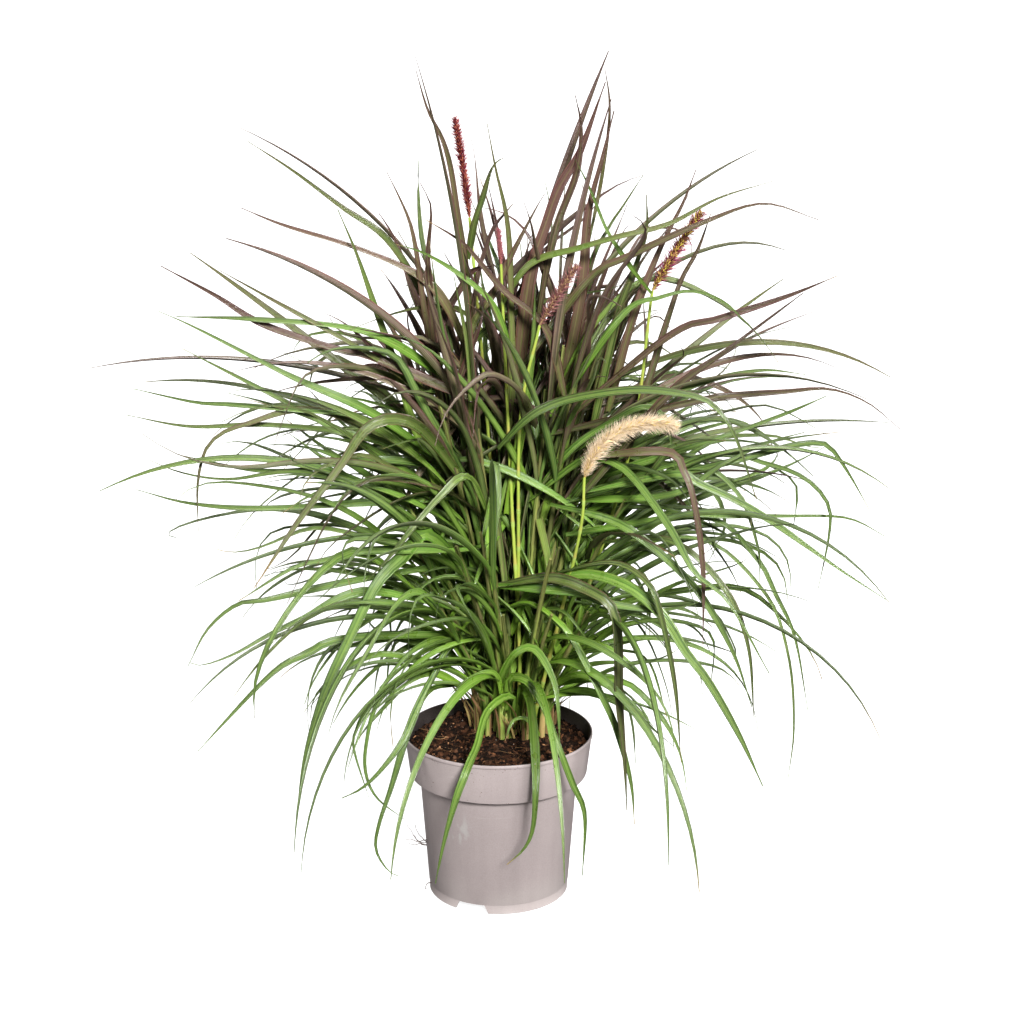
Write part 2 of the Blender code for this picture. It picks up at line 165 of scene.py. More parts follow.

# Single blades whose lines show clearly, each set out one by one: width, wine tint, youthful tint that
# is partly painted glow, then points (x, y, z) that its smooth line runs through, from inside the clump to
# its tip
HIGH_BLADES = (
    (0.011, 0.9, 0, (-.045, .02, .5), (-.07, .01, .64), (-.079, 0, .76), (-.08, 0, .795),
     (-.076, 0, .845), (-.088, 0, .873)),
    (0.017, 1, 0, (.02, .03, .6), (.036, 0, .757), (.057, 0, .831), (.072, 0, .871), (.094, 0, .909),
     (.122, 0, .987)),
    (0.012, 0.9, 0, (.045, 0, .7), (.066, -.005, .815), (.09, -.005, .885), (.095, 0, .935),
     (.088, 0, .972)),
    (0.0145, 0.9, 0.1, (.06, .02, .55), (.095, 0, .735), (.102, 0, .818), (.107, 0, .853), (.119, 0, .9),
     (.132, 0, .955)),
    (0.005, 0.8, 0, (.105, .01, .8), (.12, .01, .88), (.1275, .01, .955), (.12, .01, 1.01)),
    (0.01, 0.6, 0.1, (.005, .03, .5), (.016, 0, .64), (.015, 0, .74), (.0115, 0, .826), (-.002, 0, .89),
     (-.012, 0, .943)),
    (0.009, 0.5, 0, (-.034, .03, .78), (-.027, .02, .822), (-.017, .02, .853), (-.007, .02, .885),
     (.003, .02, .897), (.011, .02, .899)),
    (0.01, 0.8, 0, (-.05, -.01, .62), (-.029, 0, .707), (-.007, 0, .741), (.0135, 0, .785),
     (.043, 0, .842), (.054, 0, .861)),
    (0.0085, 0.5, 0, (0, .02, .72), (.037, -.01, .781), (.092, -.03, .803), (.137, -.045, .819),
     (.193, -.05, .834), (.248, -.05, .863), (.308, -.05, .882)),
    (0.0105, 0.8, 0, (.03, 0, .66), (.105, -.02, .766), (.15, -.03, .794), (.236, -.04, .835),
     (.3, -.04, .855), (.362, -.04, .837)),
    (0.0105, 0.9, 0, (.13, .02, .6), (.155, 0, .71), (.182, 0, .785), (.2, 0, .825), (.213, 0, .852),
     (.226, 0, .888)),
    (0.008, 0.3, 0, (.08, .02, .62), (.105, 0, .77), (.128, 0, .822), (.144, 0, .847), (.166, 0, .882)),
    (0.011, 0.5, 0.1, (.11, 0, .58), (.139, 0, .716), (.16, 0, .78), (.171, 0, .818), (.17, 0, .86)),
    (0.011, 0.8, 0, (.15, -.01, .55), (.197, -.01, .716), (.212, -.01, .764), (.229, -.01, .797),
     (.243, -.01, .839)),
    (0.006, 0.1, 0.4, (.177, -.012, .748), (.155, -.014, .776), (.1255, -.012, .819), (.105, -.012, .868),
     (.088, -.012, .902)),
    (0.0105, 0.8, 0, (-.05, .02, .52), (-.083, 0, .716), (-.091, 0, .775), (-.099, 0, .822),
     (-.11, 0, .852), (-.126, 0, .886)),
    (0.01, 0.9, 0, (.08, -.02, .62), (.055, -.02, .708), (.007, -.02, .752), (-.032, -.02, .8),
     (-.048, -.02, .814), (-.081, -.02, .834)),
    (0.0085, 0, 0.3, (.02, -.03, .66), (-.002, -.03, .732), (-.034, -.03, .766), (-.08, -.03, .796),
     (-.115, -.03, .808)),
    (0.01, 0.1, 0.2, (.06, 0, .6), (.143, -.03, .725), (.184, -.04, .747), (.221, -.05, .757),
     (.257, -.06, .746), (.285, -.07, .72)),
    (0.012, 1, 0, (.08, -.02, .6), (.2, -.04, .705), (.25, -.05, .725), (.33, -.05, .752),
     (.385, -.05, .775)),
    (0.011, 0.9, 0, (.1, -.05, .52), (.19, -.06, .635), (.26, -.06, .69), (.345, -.06, .757)),
    (0.013, 1, 0, (-.02, -.02, .62), (-.14, -.03, .675), (-.18, -.03, .684), (-.266, -.04, .716),
     (-.32, -.045, .752), (-.38, -.05, .787)),
    (0.012, 0.3, 0.8, (-.05, 0, .46), (-.1, -.01, .595), (-.12, -.01, .665), (-.138, -.01, .72),
     (-.16, -.01, .79), (-.182, -.01, .845)),
    (0.009, 0.8, 0, (-.03, .03, .7), (-.04, .02, .79), (-.047, .01, .843), (-.0545, .01, .893),
     (-.064, .01, .925), (-.079, .01, .955), (-.092, .01, 1)),
    (0.012, 0.2, 0.9, (.01, 0, .48), (.03, -.02, .6), (.04, -.025, .68), (.043, -.02, .76)),
    (0.011, 0.4, 0.7, (-.02, 0, .48), (-.03, -.02, .6), (-.036, -.025, .69), (-.05, -.02, .77)),
    (0.012, 0.3, 0.6, (.05, 0, .46), (.08, -.02, .58), (.095, -.02, .67), (.118, -.01, .745)),
)
SIDE_BLADES = (
    (0.0095, 0.85, 0, (.05, -.02, .58), (.24, -.05, .632), (.272, -.05, .636), (.33, -.05, .64),
     (.38, -.05, .643), (.425, -.05, .627), (.465, -.05, .595)),
    (0.011, 0, 0, (.08, -.02, .5), (.255, -.06, .556), (.298, -.06, .568), (.342, -.06, .58),
     (.372, -.06, .582), (.387, -.06, .572), (.41, -.06, .538), (.432, -.06, .5)),
    (0.011, 0, 0, (.1, -.05, .52), (.205, -.08, .55), (.23, -.085, .54), (.272, -.09, .522),
     (.313, -.09, .497), (.355, -.09, .467), (.397, -.09, .437), (.45, -.09, .402)),
    (0.0085, 0.1, 0, (.08, -.02, .46), (.215, -.06, .495), (.258, -.06, .494), (.33, -.06, .494),
     (.388, -.06, .494), (.418, -.06, .488), (.45, -.06, .47)),
    (0.011, 0.1, 0.1, (.1, 0, .52), (.215, -.04, .568), (.275, -.05, .592), (.333, -.05, .615),
     (.377, -.05, .635)),
    (0.01, 0.2, 0, (.06, 0, .54), (.18, -.05, .625), (.24, -.06, .655), (.3, -.07, .67), (.35, -.07, .665)),
    (0.01, 0, 0.2, (.08, -.01, .5), (.2, -.06, .52), (.26, -.07, .56), (.31, -.07, .585), (.35, -.08, .6)),
    (0.012, 0.9, 0, (-.03, .02, .66), (-.06, 0, .732), (-.092, 0, .766), (-.16, 0, .797),
     (-.243, 0, .824), (-.293, 0, .845)),
    (0.0095, 0.5, 0, (-.04, .03, .62), (-.085, .02, .735), (-.127, .02, .805), (-.178, .02, .842),
     (-.235, .02, .885), (-.285, .02, .918)),
    (0.0095, 0.1, 0, (-.06, 0, .54), (-.155, -.03, .603), (-.227, -.05, .618), (-.308, -.05, .626),
     (-.348, -.05, .629), (-.418, -.05, .645)),
    (0.006, 0.2, 0, (-.08, 0, .49), (-.22, -.05, .545), (-.31, -.06, .54), (-.365, -.06, .548),
     (-.408, -.06, .566)),
    (0.0085, 0.6, 0, (-.06, 0, .53), (-.2, -.04, .615), (-.29, -.06, .605), (-.33, -.07, .585),
     (-.345, -.07, .54), (-.347, -.07, .48)),
    (0.014, 0.5, 0, (-.04, 0, .52), (-.085, -.07, .6), (-.12, -.1, .622), (-.151, -.11, .61),
     (-.178, -.12, .571), (-.226, -.14, .51), (-.276, -.145, .436)),
    (0.013, 0.3, 0.2, (-.01, -.02, .48), (-.035, -.08, .547), (-.065, -.1, .53), (-.095, -.12, .5),
     (-.125, -.13, .465), (-.15, -.135, .44)),
    (0.0105, 0.1, 0, (-.06, 0, .54), (-.145, -.03, .611), (-.226, -.04, .651), (-.269, -.045, .674),
     (-.35, -.05, .719), (-.385, -.05, .735)),
    (0.01, 0.1, 0.2, (-.04, 0, .42), (-.185, -.05, .41), (-.27, -.07, .397), (-.305, -.07, .391),
     (-.34, -.075, .362), (-.364, -.08, .318)),
    (0.0115, 0, 0, (-.04, -.01, .36), (-.155, -.05, .4), (-.228, -.07, .373), (-.268, -.08, .356),
     (-.307, -.085, .335), (-.344, -.09, .323), (-.361, -.09, .326)),
    (0.012, 0, 0.1, (0, 0, .45), (-.04, -.05, .45), (-.15, -.09, .462), (-.193, -.1, .455),
     (-.235, -.1, .445), (-.3, -.1, .405)),
    (0.0105, 0, 0.2, (-.04, 0, .33), (-.18, -.06, .345), (-.225, -.07, .33), (-.268, -.08, .307),
     (-.355, -.09, .215)),
    (0.008, 0.1, 0.1, (.08, 0, .5), (.25, -.05, .565), (.3, -.06, .56), (.35, -.07, .545),
     (.38, -.075, .515), (.383, -.08, .48), (.372, -.08, .41)),
    (0.0125, 0.25, 0, (0, -.04, .57), (.035, -.075, .615), (.07, -.1, .64), (.117, -.115, .654),
     (.161, -.125, .66), (.208, -.135, .657), (.236, -.14, .648), (.263, -.14, .613), (.29, -.14, .538)),
    (0.011, 0.1, 0, (.04, 0, .5), (.09, -.03, .57), (.143, -.045, .61), (.167, -.05, .622),
     (.185, -.05, .617), (.196, -.05, .6), (.206, -.05, .545)),
    (0.012, 0.05, 0.2, (.03, 0, .49), (.097, -.04, .555), (.125, -.055, .56), (.153, -.075, .547),
     (.194, -.12, .499), (.222, -.15, .4535), (.26, -.15, .42), (.31, -.15, .333)),
    (0.012, 0.1, 0.1, (.06, -.03, .5), (.13, -.1, .5), (.18, -.115, .47), (.23, -.12, .42),
     (.27, -.12, .35), (.295, -.12, .28)),
    (0.012, 0.1, 0, (0, -.03, .4), (.087, -.1, .415), (.126, -.11, .405), (.18, -.12, .4),
     (.21, -.12, .403), (.232, -.12, .41)),
    (0.008, 0.1, 0, (.1, 0, .45), (.24, -.05, .49), (.3, -.06, .445), (.325, -.07, .4),
     (.348, -.075, .35), (.366, -.08, .26)),
    (0.007, 0.2, 0, (.1, 0, .42), (.23, -.05, .465), (.31, -.07, .405), (.34, -.08, .33),
     (.35, -.08, .24), (.345, -.08, .17)),
    (0.009, 0, 0.3, (.1, 0, .48), (.22, -.05, .55), (.275, -.06, .525), (.302, -.065, .46),
     (.306, -.065, .415)),
    (0.01, 0.9, 0, (.1, -.04, .56), (.19, -.11, .585), (.21, -.12, .565), (.222, -.13, .53),
     (.233, -.13, .455), (.235, -.13, .36)),
    (0.01, 0.4, 0, (.12, -.02, .45), (.2, -.08, .47), (.26, -.1, .42), (.29, -.1, .35), (.3, -.1, .26)),
    (0.011, 0.1, 0, (-.05, 0, .64), (-.145, -.03, .704), (-.272, -.045, .724), (-.365, -.05, .729)),
    (0.01, 0.2, 0, (-.06, 0, .5), (-.16, -.03, .575), (-.229, -.04, .618), (-.287, -.045, .651),
     (-.36, -.05, .692)),
    (0.0095, 0.3, 0, (-.06, 0, .53), (-.145, -.03, .58), (-.259, -.045, .6), (-.353, -.05, .6),
     (-.427, -.05, .614)),
    (0.009, 0.1, 0.1, (-.05, 0, .535), (-.14, -.03, .556), (-.226, -.04, .545), (-.286, -.045, .547),
     (-.366, -.05, .566)),
    (0.01, 0.1, 0, (-.05, 0, .5), (-.14, -.03, .504), (-.27, -.045, .5), (-.357, -.05, .508),
     (-.42, -.05, .525)),
    (0.0085, 0.6, 0, (-.06, 0, .61), (-.14, -.03, .675), (-.218, -.04, .724), (-.314, -.05, .782)),
)
FRONT_BLADES = (
    (0.016, 0, 0.1, (-.03, 0, .4), (-.082, -.05, .47), (-.11, -.08, .452), (-.139, -.1, .426),
     (-.172, -.12, .363), (-.2, -.13, .303), (-.224, -.135, .228), (-.236, -.14, .155)),
    (0.0125, 0, 0.4, (.022, 0, .22), (.015, -.02, .256), (-.012, -.055, .25), (-.024, -.09, .222),
     (-.031, -.11, .213), (-.04, -.126, .196), (-.05, -.13, .17), (-.064, -.13, .118), (-.075, -.13, .062)),
    (0.013, 0, 0.6, (.024, 0, .22), (.029, -.02, .266), (.039, -.055, .262), (.043, -.095, .222),
     (.043, -.125, .175), (.04, -.127, .13), (.03, -.127, .105), (.01, -.127, .085)),
    (0.011, 0, 0.5, (.01, 0, .23), (.014, -.02, .278), (.036, -.045, .285), (.056, -.075, .262),
     (.072, -.105, .225), (.088, -.11, .18), (.102, -.108, .14), (.1, -.105, .06)),
    (0.008, 0, 1, (.05, -.02, .205), (.034, -.035, .232), (.018, -.045, .234), (.008, -.052, .212)),
    (0.008, 0, 1, (.005, -.01, .24), (-.003, -.03, .288), (-.03, -.045, .292), (-.058, -.055, .272)),
    (0.013, 0.05, 0.5, (-.005, 0, .24), (.008, -.03, .292), (.022, -.05, .322), (.043, -.06, .33),
     (.064, -.08, .3), (.07, -.095, .27), (.072, -.1, .23)),
    (0.013, 0, 0.2, (-.02, .01, .28), (-.052, -.02, .322), (-.076, -.045, .292), (-.096, -.07, .258),
     (-.112, -.09, .228), (-.14, -.105, .195), (-.162, -.11, .175), (-.185, -.11, .163)),
    (0.009, 0, 0.1, (-.05, .01, .26), (-.085, -.02, .262), (-.108, -.06, .225), (-.128, -.085, .165),
     (-.142, -.1, .125), (-.146, -.105, .095), (-.132, -.11, .07), (-.118, -.11, .062)),
    (0.007, 0.1, 0, (-.06, .01, .3), (-.115, -.04, .285), (-.145, -.06, .26), (-.157, -.07, .215),
     (-.158, -.075, .18), (-.145, -.08, .15), (-.113, -.085, .125)),
    (0.0055, 0, 0.2, (-.07, .01, .3), (-.15, -.05, .258), (-.17, -.06, .228), (-.172, -.065, .205),
     (-.155, -.07, .145)),
    (0.012, 0, 0.6, (0, -.01, .36), (.035, -.05, .385), (.07, -.08, .37), (.087, -.09, .35),
     (.106, -.105, .318), (.12, -.115, .292), (.137, -.12, .255), (.155, -.125, .19), (.16, -.125, .135)),
    (0.014, 0.5, 0, (0, -.03, .4), (.06, -.08, .425), (.1, -.12, .425), (.128, -.135, .41),
     (.137, -.14, .375), (.139, -.14, .3), (.146, -.14, .225), (.15, -.14, .16)),
    (0.009, 0.4, 0, (.06, -.05, .42), (.13, -.1, .45), (.17, -.13, .435), (.185, -.14, .4),
     (.203, -.14, .315), (.212, -.14, .22)),
    (0.0165, 0, 0.3, (.03, -.02, .38), (.09, -.07, .425), (.145, -.11, .425), (.187, -.13, .395),
     (.214, -.135, .354), (.242, -.14, .318), (.278, -.14, .255), (.308, -.14, .19)),
    (0.011, 0, 0.8, (-.03, 0, .27), (-.06, -.03, .33), (-.1, -.06, .33), (-.14, -.08, .29)),
    (0.01, 0, 0.9, (.05, 0, .27), (.09, -.03, .325), (.135, -.05, .325), (.18, -.06, .285),
     (.2, -.06, .25)),
    (0.011, 0, 0.8, (.06, 0, .26), (.1, -.04, .29), (.15, -.06, .27), (.185, -.065, .235)),
    (0.01, 0, 0.9, (-.04, 0, .26), (-.08, -.03, .29), (-.12, -.05, .275), (-.15, -.055, .25)),
    (0.01, 0, 0.7, (.015, -.005, .33), (.04, -.04, .4), (.08, -.07, .415), (.12, -.09, .385)),
    (0.008, 0, 0.3, (.005, -.005, .33), (-.03, -.04, .405), (-.07, -.06, .42), (-.11, -.08, .395)),
    (0.009, 0, 0.6, (.026, -.006, .3), (.045, -.03, .36), (.075, -.05, .375), (.11, -.07, .34)),
)

# Each culm: the points its smooth line runs through, the last one at the foot of its spike; then
# the spike: lean azimuth, lean at its foot, how far it bends over by its tip, length, radius
CULMS = (
    (((0.0065, 0.0335), (-0.002, 0.042, 0.40), (-0.015, 0.040, 0.62), (-0.0325, 0.035, 0.828)),
     (180, 6, 4, 0.115, 0.0060)),
    (((0.0185, 0.0260), (0.024, -0.004, 0.40), (0.026, -0.022, 0.60), (0.048, -0.030, 0.714)),
     (0, 28, 8, 0.080, 0.0060)),
    (((0.0400, 0.0330), (0.093, 0.034, 0.33), (0.155, 0.000, 0.555), (0.178, -0.010, 0.750)),
     (0, 28, 6, 0.105, 0.0085)),
    (((0.0425, 0.0115), (0.050, -0.004, 0.25), (0.093, -0.075, 0.47), (0.099, -0.085, 0.548)),
     (0, 12, 96, 0.135, 0.0100)),
    (((0.0205, 0.0135), (0.026, -0.006, 0.30), (0.016, -0.006, 0.50), (0.004, -0.002, 0.780)),
     (180, 3, 2, 0.040, 0.0040)),
)

# Each spike's finish: name, colour of its core, colour of its bristles, bristle length, how close
# the bristles stand, and half a bristle's width at its foot as a share of its length
SPIKE_LOOKS = (
    ("spike_burgundy", (0.420, 0.150, 0.080), (0.200, 0.030, 0.060), 0.0100, 0.55, 0.070),
    ("spike_plum", (0.420, 0.290, 0.150), (0.290, 0.115, 0.130), 0.0120, 0.36, 0.056),
    ("spike_gold_purple", (0.540, 0.450, 0.080), (0.270, 0.030, 0.125), 0.0150, 0.34, 0.050),
    ("spike_cream", (0.580, 0.410, 0.110), (0.860, 0.720, 0.560), 0.0165, 1.5, 0.022),
    ("spike_young", (0.400, 0.170, 0.130), (0.420, 0.150, 0.190), 0.0065, 0.6, 0.060),
)


# --- node trees written as expressions -----------------------------------------------------------


class Wire:
    """A socket of a node tree that takes Python's arithmetic: each sign adds a Math node."""

    def __init__(self, tree, socket):
        self.tree = tree
        self.socket = socket

    def maths(self, operation, *values):
        return self.tree.add("ShaderNodeMath", {"operation": operation}, *values)

    def __add__(self, other):
        return self.maths("ADD", self, other)

    def __sub__(self, other):
        return self.maths("SUBTRACT", self, other)

    def __rsub__(self, other):
        return self.maths("SUBTRACT", other, self)

    def __mul__(self, other):
        return self.maths("MULTIPLY", self, other)

    __radd__ = __add__
    __rmul__ = __mul__

    def sine(self):
        return self.maths("SINE", self)

    def size(self):
        return self.maths("ABSOLUTE", self)

    def within(self):
        """The same value, held between 0 and 1."""
        return self.tree.add("ShaderNodeClamp", None, self)

    def over(self, edge, width):
        """0 below an edge, 1 above it, with a soft step of this width between."""
        kind = {"interpolation_type": "SMOOTHSTEP"}
        return self.tree.add("ShaderNodeMapRange", kind, self, edge - width / 2, edge + width / 2)

    def under(self, edge, width):
        return 1 - self.over(edge, width)


class Tree:
    """One node tree. add() makes any node: its type, its settings, then its inputs."""

    def __init__(self, nodes):
        self.nodes = nodes

    def add(self, kind, settings=None, *inputs, out=0, **named):
        node = self.nodes.nodes.new(kind)
        for setting, value in (settings or {}).items():
            setattr(node, setting, value)
        for place, value in enumerate(inputs):
            if value is not None:
                self.feed(node.inputs[place], value)
        for label, value in named.items():
            self.feed(node.inputs[label.replace("_", " ")], value)
        return Wire(self, node.outputs[out])

    def vector_maths(self, operation, *values, out=0, **named):
        return self.add("ShaderNodeVectorMath", {"operation": operation}, *values, out=out, **named)

    def vector(self, *values):
        return self.add("ShaderNodeCombineXYZ", None, *values)

    def feed(self, socket, value):
        if isinstance(value, Wire):
            self.nodes.links.new(value.socket, socket)
        else:
            socket.default_value = value


class Paint(Tree):
    """A material's tree, with short words for what the finishes here are made of."""

    def __init__(self, name, roughness=0.5, specular=0.5):
        self.material = bpy.data.materials.new(name)
        self.material.use_nodes = True
        super().__init__(self.material.node_tree)
        self.shader = self.nodes.nodes["Principled BSDF"]
        self.shader.inputs["Roughness"].default_value = roughness
        self.shader.inputs["Specular IOR Level"].default_value = specular

    def attributes(self, *names):
        return [self.add("ShaderNodeAttribute", {"attribute_name": name}, out=2) for name in names]

    def place(self):
        return self.add("ShaderNodeTexCoord", out=3)

    def stretched(self, scale):
        return self.add("ShaderNodeMapping", None, self.place(), Scale=scale)

    def noise(self, scale, vector=None, detail=3.0, roughness=0.5):
        vector = vector or self.place()
        return self.add(
            "ShaderNodeTexNoise", None, vector, Scale=scale, Detail=detail, Roughness=roughness
        )

    def spots(self, scale):
        """Distance from the nearest of many scattered points, in cells."""
        return self.add("ShaderNodeTexVoronoi", None, self.place(), Scale=scale)

    def from_axis(self):
        """Distance from the upright axis of the pot."""
        level = self.vector_maths("MULTIPLY", self.place(), (1.0, 1.0, 0.0))
        return self.vector_maths("LENGTH", level, out=1)

    def mix(self, share, first, second):
        node = self.nodes.nodes.new("ShaderNodeMix")
        node.data_type = "RGBA"
        self.feed(node.inputs[0], share)
        self.feed(node.inputs[6], first if isinstance(first, Wire) else (*first, 1.0))
        self.feed(node.inputs[7], second if isinstance(second, Wire) else (*second, 1.0))
        return Wire(self, node.outputs[2])

    def finish(self, colour, roughness, bump=None, strength=0.3, depth=0.001):
        self.feed(self.shader.inputs["Base Color"], colour)
        self.feed(self.shader.inputs["Roughness"], roughness)
        if bump is not None:
            normal = self.add("ShaderNodeBump", None, strength, depth, Height=bump)
            self.feed(self.shader.inputs["Normal"], normal)
        return self.material


# --- finishes; one that several pieces share is made once ----------------------------------------


@cache
def blade_finish():
    """Grass blade: parallel veins, a pale midrib, wine tint, young yellow green and grey bloom.

    The young yellow green is partly painted glow, most of all on low blades. The grey is strongest
    beneath a blade and towards its tip, as its own waxy coat, and away from the clump's middle, as
    painted sheen.
    """
    looks = bpy.context.scene.grass_looks
    paint = Paint("grass_blade", specular=0.65)
    across, along, beneath = paint.attributes("across", "along", "beneath")
    wine, light, age, fresh = paint.attributes("wine", "light", "age", "fresh")
    beneath = beneath.over(0.0, 0.5)
    edge = across.size()
    mottle = paint.noise(60.0, detail=4.0) - 0.5
    lengthwise = paint.vector(across * 7.0 + light * 31.0, along * 4.0, light * 7.0)
    streak = paint.noise(1.0, lengthwise) - 0.5
    veins = (across * 30.0).sine()
    bands = (across * 13.0 + light * 3.0).sine()

    shade = (light * 0.5 + 0.5 + mottle * 0.8 + streak * 2.4).within()
    colour = paint.mix(shade, looks.leaf_deep, looks.leaf_bright)
    # Young yellow green, partly painted glow
    colour = paint.mix((fresh * (0.85 + streak * 0.8)).within(), colour, looks.leaf_fresh_and_glow)
    wine_shade = paint.mix((shade + 0.15).within(), looks.wine_deep, looks.wine_light)
    tinted = (wine * 1.25 - 0.12 + (mottle * 0.6 + streak * 1.4) * wine.over(0.12, 0.2)).within()
    colour = paint.mix(tinted, colour, wine_shade)
    # Grey for the blade's waxy coat, also used as painted sheen
    bloom_and_sheen = paint.mix(tinted, looks.bloom_and_sheen, looks.wine_bloom_and_sheen)
    # Painted sheen: blades far from the clump's middle turn greyer
    outer = paint.from_axis().over(0.19, 0.20)
    bloom_and_sheen_share = beneath * (0.30 - fresh * 0.20) + along.over(0.45, 0.8) * (0.36 - wine * 0.22)
    bloom_and_sheen_share = bloom_and_sheen_share + outer * (0.50 - wine * 0.28)
    colour = paint.mix((bloom_and_sheen_share * (0.8 + light * 0.25) + streak * 0.4).within(), colour, bloom_and_sheen)
    pale = edge.over(0.10, 0.08) * edge.under(0.36, 0.30)
    colour = paint.mix(pale * (0.24 - wine * 0.20), colour, looks.leaf_pale)
    colour = paint.mix((bands * 0.5 + 0.5) * (0.34 - wine * 0.30), colour, looks.leaf_pale)
    colour = paint.mix(edge.under(0.07, 0.07) * (0.44 - wine * 0.24), colour, looks.leaf_pale)
    fleck_place = paint.vector(across * 5.0 + light * 17.0, along * 26.0, light * 9.0)
    flecks = paint.noise(1.0, fleck_place, detail=4.0).over(0.66, 0.08)
    colour = paint.mix(flecks * (age * 0.45 + 0.1), colour, looks.wine_light)
    colour = paint.mix(edge.over(0.90, 0.10) * (wine * 0.6 + 0.10), colour, looks.margin)
    dry = (along + age * 0.30 + streak * 0.15).over(1.22, 0.08)
    colour = paint.mix(dry * 0.8, colour, looks.straw)
    roughness = (0.30 + mottle * 0.2 + beneath * 0.12 + dry * 0.2).within()
    height = veins * 0.5 + edge.under(0.12, 0.2) * -1.0 + mottle
    return paint.finish(colour, roughness, height, strength=0.7, depth=0.0005)


@cache
def stem_finish():
    """Shoot of rolled sheaths: ribbed, green above, olive and straw brown towards the soil."""
    looks = bpy.context.scene.grass_looks
    paint = Paint("leaf_sheath", specular=0.35)
    across, light, wine, age = paint.attributes("across", "light", "wine", "age")
    grain = paint.noise(1.0, paint.stretched((300.0, 300.0, 25.0)), detail=4.0) - 0.5
    blotch = paint.noise(42.0) - 0.5
    tone = (light * 0.5 + 0.45 + grain * 0.9).within()
    colour = paint.mix(tone, looks.stem_green, looks.stem_yellow)
    colour = paint.mix((wine * 0.9 + blotch * wine).within(), colour, looks.wine_light)
    old = (age + blotch * 0.9 + grain * 0.5 + light * 0.15).over(0.62, 0.35)
    colour = paint.mix(old * 0.85, colour, looks.straw)
    colour = paint.mix((age + blotch * 1.6 - light * 0.2).over(1.0, 0.3) * 0.75, colour, looks.dead_brown)
    colour = paint.mix(across.size().over(0.84, 0.12) * 0.5, colour, looks.leaf_pale)
    ribs = (across * 26.0).sine()
    roughness = (0.46 + blotch * 0.3 + old * 0.2).within()
    return paint.finish(colour, roughness, ribs * 0.5 + grain, strength=0.45, depth=0.0004)


@cache
def culm_finish():
    """Flower stem: yellow green, tan and pink between its joints, with a pale ring at each."""
    looks = bpy.context.scene.grass_looks
    paint = Paint("culm_skin", specular=0.5)
    joint, wine = paint.attributes("age", "wine")
    grain = paint.noise(1.0, paint.stretched((400.0, 400.0, 30.0)), detail=4.0) - 0.5
    blotch = paint.noise(55.0) - 0.5
    colour = paint.mix((grain * 0.9 + 0.5).within(), looks.culm_green, looks.culm_yellow)
    colour = paint.mix((wine + blotch * wine * 1.2).within(), colour, looks.culm_tan)
    colour = paint.mix(joint.over(0.45, 0.3) * 0.75, colour, looks.leaf_pale)
    colour = paint.mix(joint.over(0.92, 0.1) * 0.8, colour, looks.dead_brown)
    roughness = (0.42 + blotch * 0.25).within()
    return paint.finish(colour, roughness, grain, strength=0.25, depth=0.0003)


def spike_finish(name, core, tip):
    """Bristly spike: a colour at the foot of every bristle and another at its tip."""
    paint = Paint(name, specular=0.3)
    along, light = paint.attributes("along", "light")
    shade = (along * 1.1 + light * 0.3 - 0.1).within()
    colour = paint.mix(shade, core, tip)
    return paint.finish(colour, (0.55 + along * 0.2).within())


def soil_finish():
    """Peat compost: dark and coarse, warmer on its lumps, flecked with fibre."""
    looks = bpy.context.scene.grass_looks
    paint = Paint("peat", specular=0.15)
    fine = paint.noise(520.0, detail=6.0, roughness=0.7)
    coarse = paint.noise(120.0, detail=5.0)
    colour = paint.mix(coarse.over(0.50, 0.2), looks.peat_dark_and_pot_shade, looks.soil_warm)
    colour = paint.mix(fine.over(0.62, 0.10) * 0.7, colour, looks.soil_fibre)
    return paint.finish(colour, 0.97 - fine * 0.15, fine + coarse, strength=1.0, depth=0.002)


def bit_finish(name, first, second):
    """Loose bits: each takes its own shade between two colours."""
    paint = Paint(name, specular=0.2)
    (light,) = paint.attributes("light")
    grain = paint.noise(900.0)
    colour = paint.mix((light.over(0.55, 0.9) + grain * 0.5 - 0.18).within(), first, second)
    return paint.finish(colour, 0.97 - grain * 0.2, grain, strength=0.6, depth=0.0006)


